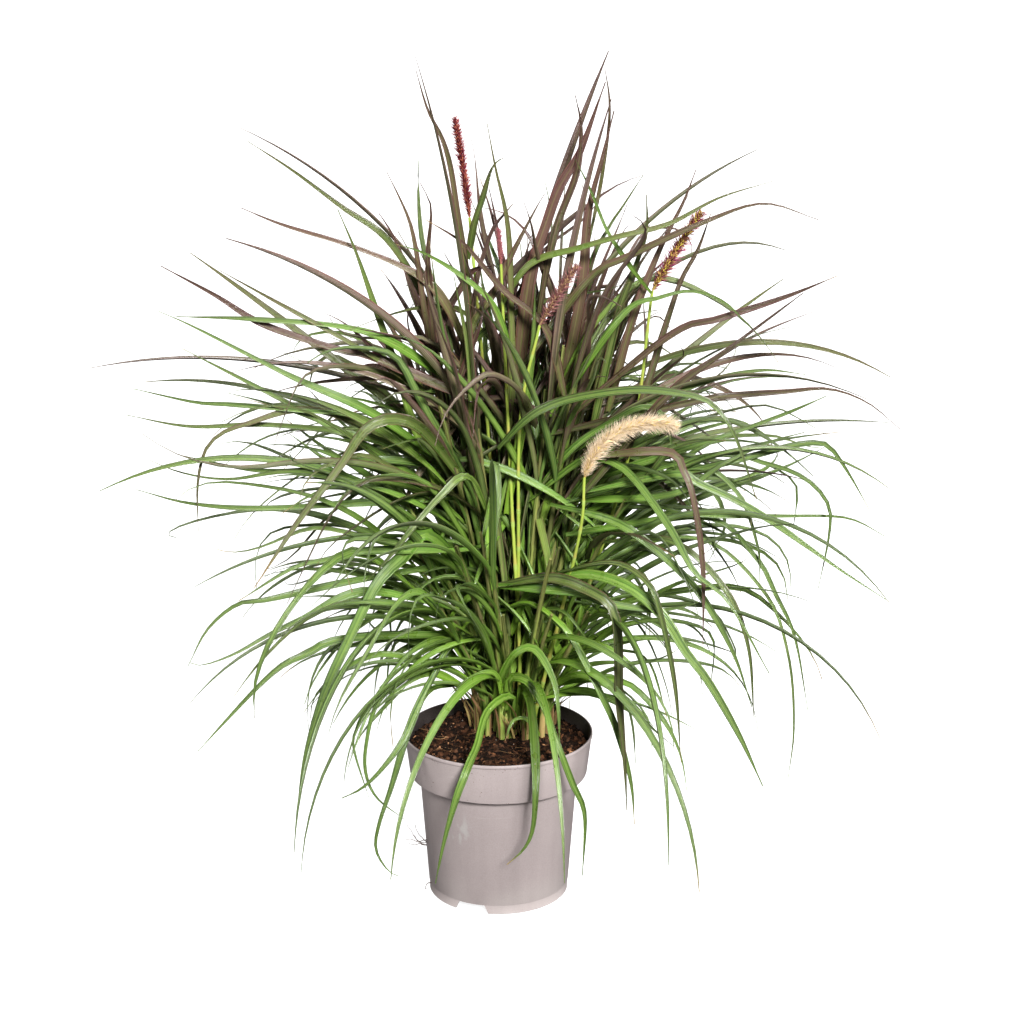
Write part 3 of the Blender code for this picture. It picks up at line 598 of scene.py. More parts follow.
def pot_finish():
    """Satin moulded plastic: mottled, scuffed, peat on its collar, painted shade inside, dust near its
    foot.
    """
    looks = bpy.context.scene.grass_looks
    paint = Paint("satin_pot_plastic", specular=0.35)
    height = paint.add("ShaderNodeSeparateXYZ", None, paint.place(), out=2)
    cloud = paint.noise(11.0, detail=5.0) - 0.5
    grain = paint.noise(700.0) - 0.5
    drawn = paint.noise(1.0, paint.stretched((70.0, 70.0, 4.0)), detail=4.0) - 0.5
    tone = (cloud * 1.1 + drawn * 0.8 + grain * 1.2 + 0.5).within()
    colour = paint.mix(tone, looks.pot_low, looks.pot_high)
    specks = paint.spots(260.0).under(0.17, 0.08) * paint.noise(34.0).over(0.58, 0.12)
    collar = height.over(POT_HEIGHT - 0.06, 0.03)
    colour = paint.mix(specks * (collar * 0.55 + 0.12), colour, looks.soil_warm)
    radius = paint.from_axis()
    slope = (RIM_RADIUS - COLLAR_FOOT_RADIUS) / (POT_HEIGHT - COLLAR_FOOT_HEIGHT)
    wall_middle = COLLAR_FOOT_RADIUS - COLLAR_FOOT_HEIGHT * slope - 0.0014
    # Painted shade: the wall inside the pot, above the peat, is darkened nearly to the darkest peat
    inside = (height * slope - radius).over(-wall_middle, 0.0010)
    inside = inside * height.over(COLLAR_FOOT_HEIGHT + 0.005, 0.004)
    colour = paint.mix(inside * ((cloud * 0.6 + grain * 0.3 + 0.85).within()), colour, looks.peat_dark_and_pot_shade)
    dust = height.under(0.03, 0.05) * (cloud + 0.5).over(0.45, 0.3)
    colour = paint.mix(dust * 0.25, colour, looks.dust)
    scuff = paint.noise(1.0, paint.stretched((15.0, 15.0, 210.0))).over(0.71, 0.06)
    colour = paint.mix(scuff * 0.10, colour, looks.dust)
    away = paint.vector_maths("DISTANCE", paint.place(), SMUDGE, out=1)
    wiped = paint.noise(1.0, paint.stretched((140.0, 140.0, 60.0)), detail=5.0).over(0.55, 0.12)
    smudge = away.under(0.020, 0.022) * wiped
    colour = paint.mix(smudge * 0.35, colour, looks.smudge)
    roughness = (0.36 + cloud * 0.25 + scuff * 0.15 + specks * 0.2 + smudge * 0.2).within()
    return paint.finish(colour, roughness, grain + drawn * 0.8, strength=0.12, depth=0.0005)


def floor_finish():
    """Pale matt studio floor that glows like a light table, so that shadows stay faint."""
    paint = Paint("studio_floor", roughness=0.9, specular=0.1)
    paint.feed(paint.shader.inputs["Base Color"], (0.36, 0.36, 0.36, 1.0))
    paint.feed(paint.shader.inputs["Emission Color"], (1.0, 1.0, 1.0, 1.0))
    paint.feed(paint.shader.inputs["Emission Strength"], 0.72)
    return paint.material


# --- lines that shoots, blades and culms follow --------------------------------------------------


def held(value, highest=1.0):
    """A value kept between 0 and a highest one."""
    return max(0.0, min(highest, value))


def even_shares(count):
    """So many numbers from 0 to 1, evenly apart."""
    return [index / (count - 1) for index in range(count)]


def direction(azimuth, lean):
    """The unit vector that leans so many degrees from straight up, towards an azimuth."""
    a = radians(azimuth)
    b = radians(lean)
    return Vector((sin(b) * cos(a), sin(b) * sin(a), cos(b)))


def bending_path(start, azimuth, lean, bend, power, length, steps, sway=0.0, habit=None):
    """Points along a line that bends over towards its tip and sways sideways, with its own habit."""
    points = [start.copy()]
    for step in range(steps):
        middle = (step + 0.5) / steps
        towards, away = azimuth + sway * middle, lean + bend * middle**power
        if habit:
            sideways, over = habit.turns(middle)
            towards, away = towards + sideways, away + over
        points.append(points[-1] + direction(towards, min(away, 186)) * (length / steps))
    return points


class Habit:
    """What sets one blade apart from its neighbours: ripples, a crease, and a curl at its tip."""

    def __init__(self, rng, wave=9.0, crease_odds=0.35, curl_odds=0.45):
        self.wave = rng.uniform(0, wave)
        self.phase = rng.random()
        self.crease = rng.uniform(0.30, 0.80) if rng.random() < crease_odds else 2.0
        self.fold_over = rng.uniform(15, 55)
        self.fold_aside = rng.gauss(0, 14)
        self.curl = rng.uniform(0.60, 0.85) if rng.random() < curl_odds else 2.0
        self.curl_over = rng.uniform(-55, 60)
        self.curl_aside = rng.gauss(0, 70)
        self.spin = radians(rng.gauss(0, 75))

    def swell(self, place):
        """How much wider or narrower than plain the blade is at a place along it."""
        return 1 + 0.09 * sin(2 * pi * (2.3 * place + self.phase))

    def roll(self, place):
        """How far the blade has turned about its own length, in radians."""
        return radians(self.wave * 6) * sin(5.0 * place + 6.0 * self.phase) * place + self.spin * place**2

    def turns(self, place):
        """The added sideways turn and the added lean at a place along the blade, in degrees."""
        ripple = self.wave * place * sin(2 * pi * (1.5 * place + self.phase))
        creased = held((place - self.crease) / 0.05)
        curled = max(0.0, (place - self.curl) / (1 - self.curl)) if self.curl < 1 else 0.0
        sideways = 1.6 * ripple + creased * self.fold_aside + curled * self.curl_aside
        return sideways, ripple + creased * self.fold_over + curled * self.curl_over


def shoot_path(azimuth, offset, lean, length):
    """A shoot rises straight from the soil, turns to its lean, then runs on almost straight."""
    a = radians(azimuth)
    points = [CROWN + Vector((cos(a), sin(a), 0.0)) * offset]
    for step in range(SHOOT_STEPS):
        middle = (step + 0.5) / SHOOT_STEPS
        turn = min(1.0, step / (SHOOT_STEPS * SHOOT_FLARE))
        heading = direction(azimuth, lean * turn * (0.9 + 0.2 * middle))
        points.append(points[-1] + heading * (length / SHOOT_STEPS))
    return points


def point_along(points, share):
    """The point and the heading at a share of the way along a line of even steps."""
    place = min(share, 0.9999) * (len(points) - 1)
    index = int(place)
    heading = (points[index + 1] - points[index]).normalized()
    return points[index].lerp(points[index + 1], place - index), heading


def smooth_line(knots, steps):
    """Points on one smooth curve through the knots, evenly many between each pair."""
    points = []
    ends = [knots[0] * 2 - knots[1], *knots, knots[-1] * 2 - knots[-2]]
    for before, first, second, after in zip(ends, ends[1:], ends[2:], ends[3:]):
        for step in range(steps):
            t = step / steps
            points.append(
                first
                + (second - before) * (t / 2)
                + (before * 2 - first * 5 + second * 4 - after) * (t * t / 2)
                + (first * 3 - before - second * 3 + after) * (t * t * t / 2)
            )
    points.append(knots[-1])
    return points


def evenly(points, count):
    """The same line as so many points, an even distance apart."""
    lengths = [0.0]
    for first, second in zip(points, points[1:]):
        lengths.append(lengths[-1] + (second - first).length)
    wanted = np.linspace(0.0, lengths[-1], count)
    columns = [np.interp(wanted, lengths, [point[axis] for point in points]) for axis in range(3)]
    return [Vector(place) for place in zip(*columns)]


def softened(points):
    """The same line with its corners eased, both ends kept."""
    middle = [
        before * 0.25 + here * 0.5 + after * 0.25
        for before, here, after in zip(points, points[1:], points[2:])
    ]
    return [points[0], *middle, points[-1]]


def blade_width(share, fineness):
    """Half the width of a blade along its length, for a full width of 2."""
    rise = min(1.0, share / 0.30)
    opening = BLADE_ROOT_WIDTH + (1 - BLADE_ROOT_WIDTH) * rise * (2 - rise)
    return max(opening * (1 - share**2.3) ** fineness, 0.09)


class Line:
    """A line to be swept: its points, its half width and facing at each, and what tints it."""

    def __init__(self, points, half_widths, turns=None, flat=1.0, facing=None, up=UP, **tints):
        count = len(points)
        self.points = points
        self.facing = facing or level_directions(points, turns or [0.0] * count, up)
        self.values = {
            "half_width": half_widths,
            "flat": [flat] * count,
            "along": even_shares(count),
        }
        for name in ("wine", "light", "age", "fresh"):
            value = tints.get(name, 0.0)
            self.values[name] = value if isinstance(value, list) else [value] * count


def level_directions(points, turns, up):
    """At each point the direction across a line whose face looks up, then turned about the line."""
    directions = []
    last = len(points) - 1
    for index, turn in enumerate(turns):
        heading = (points[min(index + 1, last)] - points[max(index - 1, 0)]).normalized()
        level = heading.cross(up)
        if level.length < 0.001:
            level = Vector((1.0, 0.0, 0.0))
        level.normalize()
        directions.append(level * cos(turn) + heading.cross(level) * sin(turn))
    return directions


# --- geometry nodes; each tree is made once ------------------------------------------------------


def new_tree(name, inputs):
    """An empty Geometry Nodes tree with these named inputs, and a wire from each of them."""
    nodes = bpy.data.node_groups.new(name, "GeometryNodeTree")
    nodes.interface.new_socket("Geometry", in_out="INPUT", socket_type="NodeSocketGeometry")
    for label, kind in inputs:
        nodes.interface.new_socket(label, in_out="INPUT", socket_type="NodeSocket" + kind)
    nodes.interface.new_socket("Geometry", in_out="OUTPUT", socket_type="NodeSocketGeometry")
    tree = Tree(nodes)
    group = nodes.nodes.new("NodeGroupInput")
    given = {socket.name: Wire(tree, socket) for socket in group.outputs if socket.name}
    return tree, given


def end_tree(tree, geometry, material, smooth=True):
    """Every tree ends the same way: shading, real meshes, one material."""
    shaded = tree.add("GeometryNodeSetShadeSmooth", None, geometry)
    shaded.socket.node.inputs["Shade Smooth"].default_value = smooth
    real = tree.add("GeometryNodeRealizeInstances", None, shaded)
    done = tree.add("GeometryNodeSetMaterial", None, real, Material=material)
    output = tree.nodes.nodes.new("NodeGroupOutput")
    tree.feed(output.inputs[0], done)
    return tree.nodes


def read(tree, name, kind="FLOAT"):
    return tree.add("GeometryNodeInputNamedAttribute", {"data_type": kind}, name)


def store(tree, geometry, name, value):
    settings = {"data_type": "FLOAT", "domain": "POINT"}
    return tree.add("GeometryNodeStoreNamedAttribute", settings, geometry, None, name, value)


def chance(tree, low, high, seed, kind="FLOAT"):
    """A random value between two bounds, for each point or instance."""
    if kind == "FLOAT":
        return tree.add("FunctionNodeRandomValue", None, None, None, low, high, Seed=seed, out=1)
    settings = {"data_type": "FLOAT_VECTOR"}
    return tree.add("FunctionNodeRandomValue", settings, low, high, Seed=seed)


@cache
def sweep_tree():
    """Sweeps a folded lens along every flat line and a ring along every round one."""
    inputs = [("Sides", "Int"), ("Thickness", "Float"), ("Fold", "Float"), ("Material", "Material")]
    tree, given = new_tree("Sweep along lines", inputs)
    ring = tree.add("GeometryNodeCurvePrimitiveCircle", None, given["Sides"], Radius=1.0)
    place = tree.add("GeometryNodeInputPosition")
    x = tree.add("ShaderNodeSeparateXYZ", None, place, out=0)
    y = tree.add("ShaderNodeSeparateXYZ", None, place, out=1)
    ring = store(tree, ring, "across", x)
    ring = store(tree, ring, "beneath", y)
    ring = store(tree, ring, "side", tree.add("GeometryNodeInputIndex"))
    folded = y * given["Thickness"] - (x.size() - 0.5) * given["Fold"]
    lens_shape = tree.vector(x, folded)
    lens = tree.add("GeometryNodeSetPosition", None, ring, None, lens_shape)

    lines = tree.add("GeometryNodeMeshToCurve", None, given["Geometry"])
    facing = read(tree, "facing", "FLOAT_VECTOR")
    lines = tree.add("GeometryNodeSetCurveNormal", {"mode": "FREE"}, lines, None, facing)
    flat = read(tree, "flat")
    join = tree.nodes.nodes.new("GeometryNodeJoinGeometry")
    for section, chosen in ((lens, flat), (ring, 1 - flat)):
        some = tree.add("GeometryNodeSeparateGeometry", {"domain": "POINT"}, lines, chosen)
        mesh = tree.add("GeometryNodeCurveToMesh", None, some, section, read(tree, "half_width"), True)
        tree.feed(join.inputs[0], mesh)
    return end_tree(tree, Wire(tree, join.outputs[0]), given["Material"])


@cache
def crumb_tree():
    """Scatters rough crumbs of many sizes over a surface."""
    inputs = [
        ("Density", "Float"),
        ("Smallest", "Float"),
        ("Largest", "Float"),
        ("Flatness", "Float"),
        ("Seed", "Int"),
        ("Material", "Material"),
    ]
    tree, given = new_tree("Scatter crumbs", inputs)
    points = tree.add("GeometryNodeDistributePointsOnFaces", None, given["Geometry"])
    tree.feed(points.socket.node.inputs["Density"], given["Density"])
    tree.feed(points.socket.node.inputs["Seed"], given["Seed"])
    points = store(tree, points, "light", chance(tree, -1.0, 1.0, 3))
    small = chance(tree, 0.0, 1.0, 4)
    size = given["Smallest"] + (given["Largest"] - given["Smallest"]) * small * small * small
    scale = tree.vector(size, size * 0.8, size * given["Flatness"])
    crumb = tree.add("GeometryNodeMeshIcoSphere", None, 1.0, 1)
    turn = chance(tree, (0.0, 0.0, 0.0), (2 * pi, 2 * pi, 2 * pi), 5, "FLOAT_VECTOR")
    copies = tree.add(
        "GeometryNodeInstanceOnPoints", None, points, Instance=crumb, Rotation=turn, Scale=scale
    )
    real = tree.add("GeometryNodeRealizeInstances", None, copies)
    rough = tree.add("ShaderNodeTexNoise", None, Scale=900.0, Detail=1.0, out=1)
    centred = tree.vector_maths("SUBTRACT", rough, (0.5, 0.5, 0.5))
    push = tree.vector_maths("SCALE", centred, Scale=0.0030)
    worn = tree.add("GeometryNodeSetPosition", None, real, Offset=push)
    return end_tree(tree, worn, given["Material"], smooth=False)


@cache
def spike_tree():
    """Sets spikelets and fine bristles in a spiral up a line, leaning towards its tip."""
    inputs = [
        ("Spikelets", "Int"),
        ("Bristles", "Int"),
        ("Spikelet Length", "Float"),
        ("Bristle Length", "Float"),
        ("Bristle Stoutness", "Float"),
        ("Seed", "Int"),
        ("Material", "Material"),
    ]
    tree, given = new_tree("Bristly spike", inputs)
    line = tree.add("GeometryNodeMeshToCurve", None, given["Geometry"])
    stalk_ring = tree.add("GeometryNodeCurvePrimitiveCircle", None, 6, Radius=0.0011)
    join = tree.nodes.nodes.new("GeometryNodeJoinGeometry")
    stalk = tree.add("GeometryNodeCurveToMesh", None, line, stalk_ring, 1.0, True)
    tree.feed(join.inputs[0], stalk)
    height = tree.add("ShaderNodeSeparateXYZ", None, tree.add("GeometryNodeInputPosition"), out=2)
    kinds = (
        ("Spikelets", "Spikelet Length", 5, 0.15, 0.00, (0.45, 0.95), 0.0, 0.35),
        ("Bristles", "Bristle Length", 3, given["Bristle Stoutness"], 0.004, (0.50, 1.15), 0.70, 1.0),
    )
    for number, (count, length, sides, foot, top, spread, first, last) in enumerate(kinds):
        cone = tree.add("GeometryNodeMeshCone", None, sides, 2 if number == 0 else 1, 1, top, foot, 1.0)
        if number == 0:
            belly = (height * pi).sine() * 0.14 + 0.012
            place = tree.add("GeometryNodeInputPosition")
            level = tree.vector_maths("MULTIPLY", place, (1.0, 1.0, 0.0))
            outward = tree.vector_maths("NORMALIZE", level)
            wide = tree.vector_maths("SCALE", outward, Scale=belly)
            tall = tree.vector(0.0, 0.0, height)
            shape = tree.vector_maths("ADD", wide, tall)
            cone = tree.add("GeometryNodeSetPosition", None, cone, None, shape)
        cone = store(tree, cone, "along", height * (last - first) + first)
        points = tree.add("GeometryNodeResampleCurve", None, line, None, given[count])
        points = store(tree, points, "light", chance(tree, -1.0, 1.0, 11 + number))
        tangent = tree.add("GeometryNodeInputTangent")
        turn = tree.add("FunctionNodeAlignRotationToVector", {"axis": "Z"}, Vector=tangent)
        index = tree.add("GeometryNodeInputIndex")
        round_turn = tree.vector(0.0, 0.0, index * BRISTLE_TURN)
        turn = tree.add("FunctionNodeRotateRotation", {"rotation_space": "LOCAL"}, turn, round_turn)
        leaning = chance(tree, *spread, 21 + number)
        lean_turn = tree.vector(leaning, 0.0, 0.0)
        turn = tree.add("FunctionNodeRotateRotation", {"rotation_space": "LOCAL"}, turn, lean_turn)
        size = given[length] * chance(tree, 0.65, 1.15, 31 + number) * read(tree, "half_width")
        copies = tree.add(
            "GeometryNodeInstanceOnPoints", None, points, Instance=cone, Rotation=turn, Scale=size
        )
        tree.feed(join.inputs[0], copies)
    return end_tree(tree, Wire(tree, join.outputs[0]), given["Material"])


def new_object(name, data):
    thing = bpy.data.objects.new(name, data)
    bpy.context.scene.collection.objects.link(thing)
    return thing


def new_mesh(name, points, edges, faces):
    mesh = bpy.data.meshes.new(name)
    mesh.from_pydata(points, edges, faces)
    return mesh


def through_tree(name, mesh, tree, **inputs):
    """The plain mesh that comes out when a base mesh goes through a node tree."""
    base = new_object("base_" + name, mesh)
    modifier = base.modifiers.new("Nodes", "NODES")
    modifier.node_group = tree
    for item in modifier.node_group.interface.items_tree:
        if item.in_out == "INPUT" and item.name in inputs:
            modifier[item.identifier] = inputs[item.name]
    graph = bpy.context.evaluated_depsgraph_get()
    result = bpy.data.meshes.new_from_object(base.evaluated_get(graph), depsgraph=graph)
    bpy.data.objects.remove(base, do_unlink=True)
    bpy.data.meshes.remove(mesh)
    result.name = name
    return result


def line_mesh(lines):
    """One base mesh that holds every line as a chain of edges, with its values on the points."""
    points = [point for line in lines for point in line.points]
    edges = []
    first = 0
    for line in lines:
        last = first + len(line.points) - 1
        edges += [(index, index + 1) for index in range(first, last)]
        first = last + 1
    mesh = new_mesh("lines", points, edges, [])
    for name in lines[0].values:
        values = [value for line in lines for value in line.values[name]]
        mesh.attributes.new(name, "FLOAT", "POINT").data.foreach_set("value", values)
    numbers = [float(number) for number, line in enumerate(lines) for _ in line.points]
    mesh.attributes.new("line", "FLOAT", "POINT").data.foreach_set("value", numbers)
    facing = np.array([tuple(vector) for line in lines for vector in line.facing], np.float32)
    mesh.attributes.new("facing", "FLOAT_VECTOR", "POINT").data.foreach_set("vector", facing.ravel())
    return mesh


def point_values(mesh, name):
    values = np.zeros(len(mesh.vertices), np.float32)
    mesh.attributes[name].data.foreach_get("value", values)
    return values


def face_corners(mesh):
    """The point at every corner of every face, and how many corners each face has."""
    corners = np.zeros(len(mesh.loops), np.int32)
    mesh.loops.foreach_get("vertex_index", corners)
    sizes = np.zeros(len(mesh.polygons), np.int32)
    mesh.polygons.foreach_get("loop_total", sizes)
    return corners, sizes


def keep_layout(mesh, u, v):
    layer = mesh.uv_layers.new(name=BAKE_LAYOUT)
    layer.data.foreach_set("uv", np.stack([u, v], axis=1).astype(np.float32).ravel())


def strip_layout(mesh, sides, count):
    """A bake layout with a strip of its own for each swept line."""
    rows = max(1, round((count / 18) ** 0.5))
    columns = ceil(count / rows)
    corners, sizes = face_corners(mesh)
    face = np.repeat(np.arange(len(sizes)), sizes)
    side = point_values(mesh, "side")[corners]
    along = point_values(mesh, "along")[corners]
    line = point_values(mesh, "line")[corners].round()
    widest = np.zeros(len(sizes))
    np.maximum.at(widest, face, side)
    wrapped = (side < 0.5) & (widest[face] > sides - 1.5) & (sizes[face] == 4)
    share = np.where(wrapped, sides, side) / sides
    is_cap = sizes[face] == sides
    angle = share * 2 * pi
    u = np.where(is_cap, 0.5 + 0.30 * np.cos(angle), 0.04 + 0.92 * share)
    cap_place = np.where(along < 0.5, 0.008, 0.992)
    v = np.where(is_cap, cap_place + 0.005 * np.sin(angle), 0.025 + 0.95 * along)
    keep_layout(mesh, (u + line // rows) / columns, (v + line % rows) / rows)


def shade_layout(mesh):
    """A bake layout for bits whose colour depends only on their shade and the place along them."""
    corners, sizes = face_corners(mesh)
    corner_number = np.concatenate([np.arange(size) for size in sizes])
    light = point_values(mesh, "light")[corners]
    along = point_values(mesh, "along")[corners]
    nudge = 0.02 * np.cos(2 * pi * corner_number / 3.3)
    u = 0.5 + 0.46 * light + nudge
    v = 0.03 + 0.92 * along + 0.01 * np.sin(2 * pi * corner_number / 3.3)
    keep_layout(mesh, u, v)


def new_piece(name, mesh, slot_name, *nodes):
    """A finished mesh as a piece that rides on the part and stands for these solids."""
    piece = new_object(name, mesh)
    for spare in ("half_width", "flat", "facing", "side", "line"):
        if spare in mesh.attributes:
            mesh.attributes.remove(mesh.attributes[spare])
    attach(piece, "root")
    if nodes:
        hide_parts(*nodes)
    return piece


def swept_piece(name, lines, material, slot_name, *nodes, sides=8, thickness=0.07, fold=0.85):
    """A piece made by sweeping lines."""
    mesh = through_tree(
        name, line_mesh(lines), sweep_tree(),
        Sides=sides, Thickness=thickness, Fold=fold, Material=material,
    )
    strip_layout(mesh, sides, len(lines))
    return new_piece(name, mesh, slot_name, *nodes)


# --- pot and soil --------------------------------------------------------------------------------


def pot_outside():
    """The pot's outer side from the rim down to the foot ring, as (radius, height)."""
    return [
        (RIM_RADIUS - 0.0009, POT_HEIGHT),
        (RIM_RADIUS - 0.0003, POT_HEIGHT - 0.0003),
        (RIM_RADIUS, POT_HEIGHT - 0.0010),
        (RIM_RADIUS, POT_HEIGHT - 0.0036),
        (RIM_RADIUS - 0.0003, POT_HEIGHT - 0.0042),
        (RIM_RADIUS - 0.0010, POT_HEIGHT - 0.0046),
        (COLLAR_FOOT_RADIUS, COLLAR_FOOT_HEIGHT + 0.0035),
        (COLLAR_FOOT_RADIUS - 0.0006, COLLAR_FOOT_HEIGHT + 0.0018),
        (COLLAR_FOOT_RADIUS - 0.0028, COLLAR_FOOT_HEIGHT + 0.0004),
        (NECK_RADIUS + 0.0024, COLLAR_FOOT_HEIGHT - 0.0010),
        (NECK_RADIUS + 0.0008, COLLAR_FOOT_HEIGHT - 0.0018),
        (NECK_RADIUS, COLLAR_FOOT_HEIGHT - 0.0036),
        (HEEL_RADIUS, FOOT_HEIGHT + 0.0008),
        (HEEL_RADIUS - 0.0004, FOOT_HEIGHT + 0.0003),
        (FOOT_RADIUS, FOOT_HEIGHT - 0.0004),
        (FOOT_RADIUS, 0.0005),
        (FOOT_RADIUS - 0.0005, 0.0),
    ]


def pot_inside():
    """The pot's inner side from the middle of its floor up to the rim, as (radius, height)."""
    return [
        (0.0, FLOOR_UNDERSIDE + WALL),
        (HEEL_RADIUS - WALL - 0.0010, FLOOR_UNDERSIDE + WALL),
        (HEEL_RADIUS - WALL, FOOT_HEIGHT + 0.0010),
        (NECK_RADIUS - WALL, COLLAR_FOOT_HEIGHT - 0.0028),
        (NECK_RADIUS + 0.0012, COLLAR_FOOT_HEIGHT + 0.0010),
        (COLLAR_FOOT_RADIUS - WALL - 0.0022, COLLAR_FOOT_HEIGHT + 0.0024),
        (COLLAR_FOOT_RADIUS - WALL, COLLAR_FOOT_HEIGHT + 0.0048),
        (RIM_RADIUS - WALL - 0.0010, POT_HEIGHT - 0.0010),
        (RIM_RADIUS - WALL - 0.0004, POT_HEIGHT),
    ]


def turned_mesh(name, profile, segments, rise=None):
    """A profile turned once round Z. Its two ends lie on the axis; rise(point) may lift points."""
    rings = profile[1:-1]
    points = [Vector((0.0, 0.0, profile[0][1]))]
    for radius, height in rings:
        for segment in range(segments):
            angle = 2 * pi * segment / segments
            points.append(Vector((radius * cos(angle), radius * sin(angle), height)))
    points.append(Vector((0.0, 0.0, profile[-1][1])))
    if rise:
        points = [rise(point) for point in points]
    faces = []
    for segment in range(segments):
        after = (segment + 1) % segments
        faces.append((0, 1 + after, 1 + segment))
        for ring in range(len(rings) - 1):
            low, high = 1 + ring * segments, 1 + (ring + 1) * segments
            faces.append((low + segment, low + after, high + after, high + segment))
        last = 1 + (len(rings) - 1) * segments
        faces.append((last + segment, last + after, len(points) - 1))
    return new_mesh(name, points, [], faces)


def notch_cutter(azimuth):
    """A block with sloping ends, for one drain notch across the foot ring."""
    slope = (NOTCH_TOP_WIDTH - NOTCH_FOOT_WIDTH) / NOTCH_HEIGHT
    turn = radians(azimuth)
    points = []
    for height in (-0.004, NOTCH_HEIGHT):
        half = (NOTCH_FOOT_WIDTH + slope * height) / 2
        for radius, across in ((-0.007, -half), (0.007, -half), (0.007, half), (-0.007, half)):
            out = FOOT_RADIUS + radius
            x = out * cos(turn) - across * sin(turn)
            y = out * sin(turn) + across * cos(turn)
            points.append((x, y, height))
    faces = [(3, 2, 1, 0), (4, 5, 6, 7), (0, 1, 5, 4), (1, 2, 6, 5), (2, 3, 7, 6), (3, 0, 4, 7)]
    return new_object("notch_cutter", new_mesh("notch_cutter", points, [], faces))


def outward(mesh):
    """Turns every face of a closed mesh to point outwards."""
    shape = bmesh.new()
    shape.from_mesh(mesh)
    bmesh.ops.recalc_face_normals(shape, faces=shape.faces)
    shape.to_mesh(mesh)
    shape.free()
    return mesh


def make_pot(sizes):
    foot_ring = [
        (FOOT_RADIUS - 0.0020, 0.0),
        (FOOT_RADIUS - 0.0024, 0.0005),
        (FOOT_RADIUS - 0.0024, FLOOR_UNDERSIDE),
        (0.0, FLOOR_UNDERSIDE),
    ]
    profile = pot_inside() + pot_outside() + foot_ring
    mesh = outward(turned_mesh("pot", profile, sizes.pot_segments))
    blank = new_object("pot_blank", mesh)
    cutters = []
    for number in range(NOTCH_COUNT):
        cutter = notch_cutter(NOTCH_AZIMUTH + number * 360 / NOTCH_COUNT)
        cut = blank.modifiers.new("Drain notch", "BOOLEAN")
        cut.operation = "DIFFERENCE"
        cut.solver = "EXACT"
        cut.object = cutter
        cutters.append(cutter)
    graph = bpy.context.evaluated_depsgraph_get()
    pot = bpy.data.meshes.new_from_object(blank.evaluated_get(graph), depsgraph=graph)
    for spare in (blank, *cutters):
        bpy.data.objects.remove(spare, do_unlink=True)
    pot.materials.clear()
    pot.materials.append(pot_finish())
    pot.shade_smooth()
    pot.set_sharp_from_angle(angle=radians(38))
    return new_piece("nursery_pot", pot, "pot_plastic", "pot")


def soil_rise(point):
    """Lifts and sinks the soil's surface in lumps, and leaves its sides alone."""
    if point.z < SOIL_TOP - 0.0035:
        return point
    radius = point.xy.length
    lump = noise.fractal(point * 42.0, 1.0, 2.0, 4) * 0.0034
    mound = 0.0030 * max(0.0, 1 - (point.xy - CROWN.xy).length / 0.06)
    calm = held((0.106 - radius) / 0.012)
    drop = 0.0012
    return point + UP * ((lump + mound) * calm - drop)


def make_soil():
    """The peat. Returns a copy of its bare mesh, for loose bits to be scattered over."""
    inside = pot_inside()
    low = FLOOR_UNDERSIDE + WALL + GAP
    clear = 1.5 * GAP
    top = [(0.107 * ring / 46, SOIL_TOP - max(0.0, ring - 41) * 0.0006) for ring in range(47)]
    side = [(radius - clear, height + GAP) for radius, height in reversed(inside[2:7])]
    profile = top + side + [(inside[1][0] - clear, low), (0.0, low)]
    mesh = outward(turned_mesh("soil", profile, 200, soil_rise))
    mesh.materials.append(soil_finish())
    mesh.shade_smooth()
    surface = mesh.copy()
    new_piece("peat_soil", mesh, "soil", "soil")
    return surface


def soil_top_only(mesh):
    """A copy of the soil's surface alone, for bits to be scattered over."""
    shape = bmesh.new()
    shape.from_mesh(mesh)
    far = [
        face for face in shape.faces
        if face.normal.z < 0.2 or face.calc_center_median().z < SOIL_TOP - 0.012
    ]
    bmesh.ops.delete(shape, geom=far, context="FACES")
    top = bpy.data.meshes.new("soil_top")
    shape.to_mesh(top)
    shape.free()
    return top


# name, first colour, second colour, density, smallest, largest, flatness, seed
CRUMBS = (
    ("peat_crumbs", (0.005, 0.003, 0.002), (0.110, 0.054, 0.030), 80000.0, 0.0005, 0.0040, 0.75, 1),
    ("peat_clods", (0.005, 0.003, 0.002), (0.100, 0.044, 0.022), 3600.0, 0.0020, 0.0080, 0.60, 4),
    ("bark_bits", (0.110, 0.045, 0.020), (0.520, 0.280, 0.150), 8000.0, 0.0008, 0.0050, 0.35, 2),
    ("white_grains", (0.420, 0.380, 0.330), (0.700, 0.660, 0.600), 1500.0, 0.0005, 0.0013, 0.8, 3),
)


def make_bits(surface):
    for name, first, second, density, smallest, largest, flatness, seed in CRUMBS:
        top = soil_top_only(surface)
        mesh = through_tree(
            name, top, crumb_tree(), Density=density, Smallest=smallest, Largest=largest,
            Flatness=flatness, Seed=seed, Material=bit_finish(name, first, second),
        )
        new_piece(name, mesh, "soil")


def soil_height(x, y):
    return soil_rise(Vector((x, y, SOIL_TOP))).z


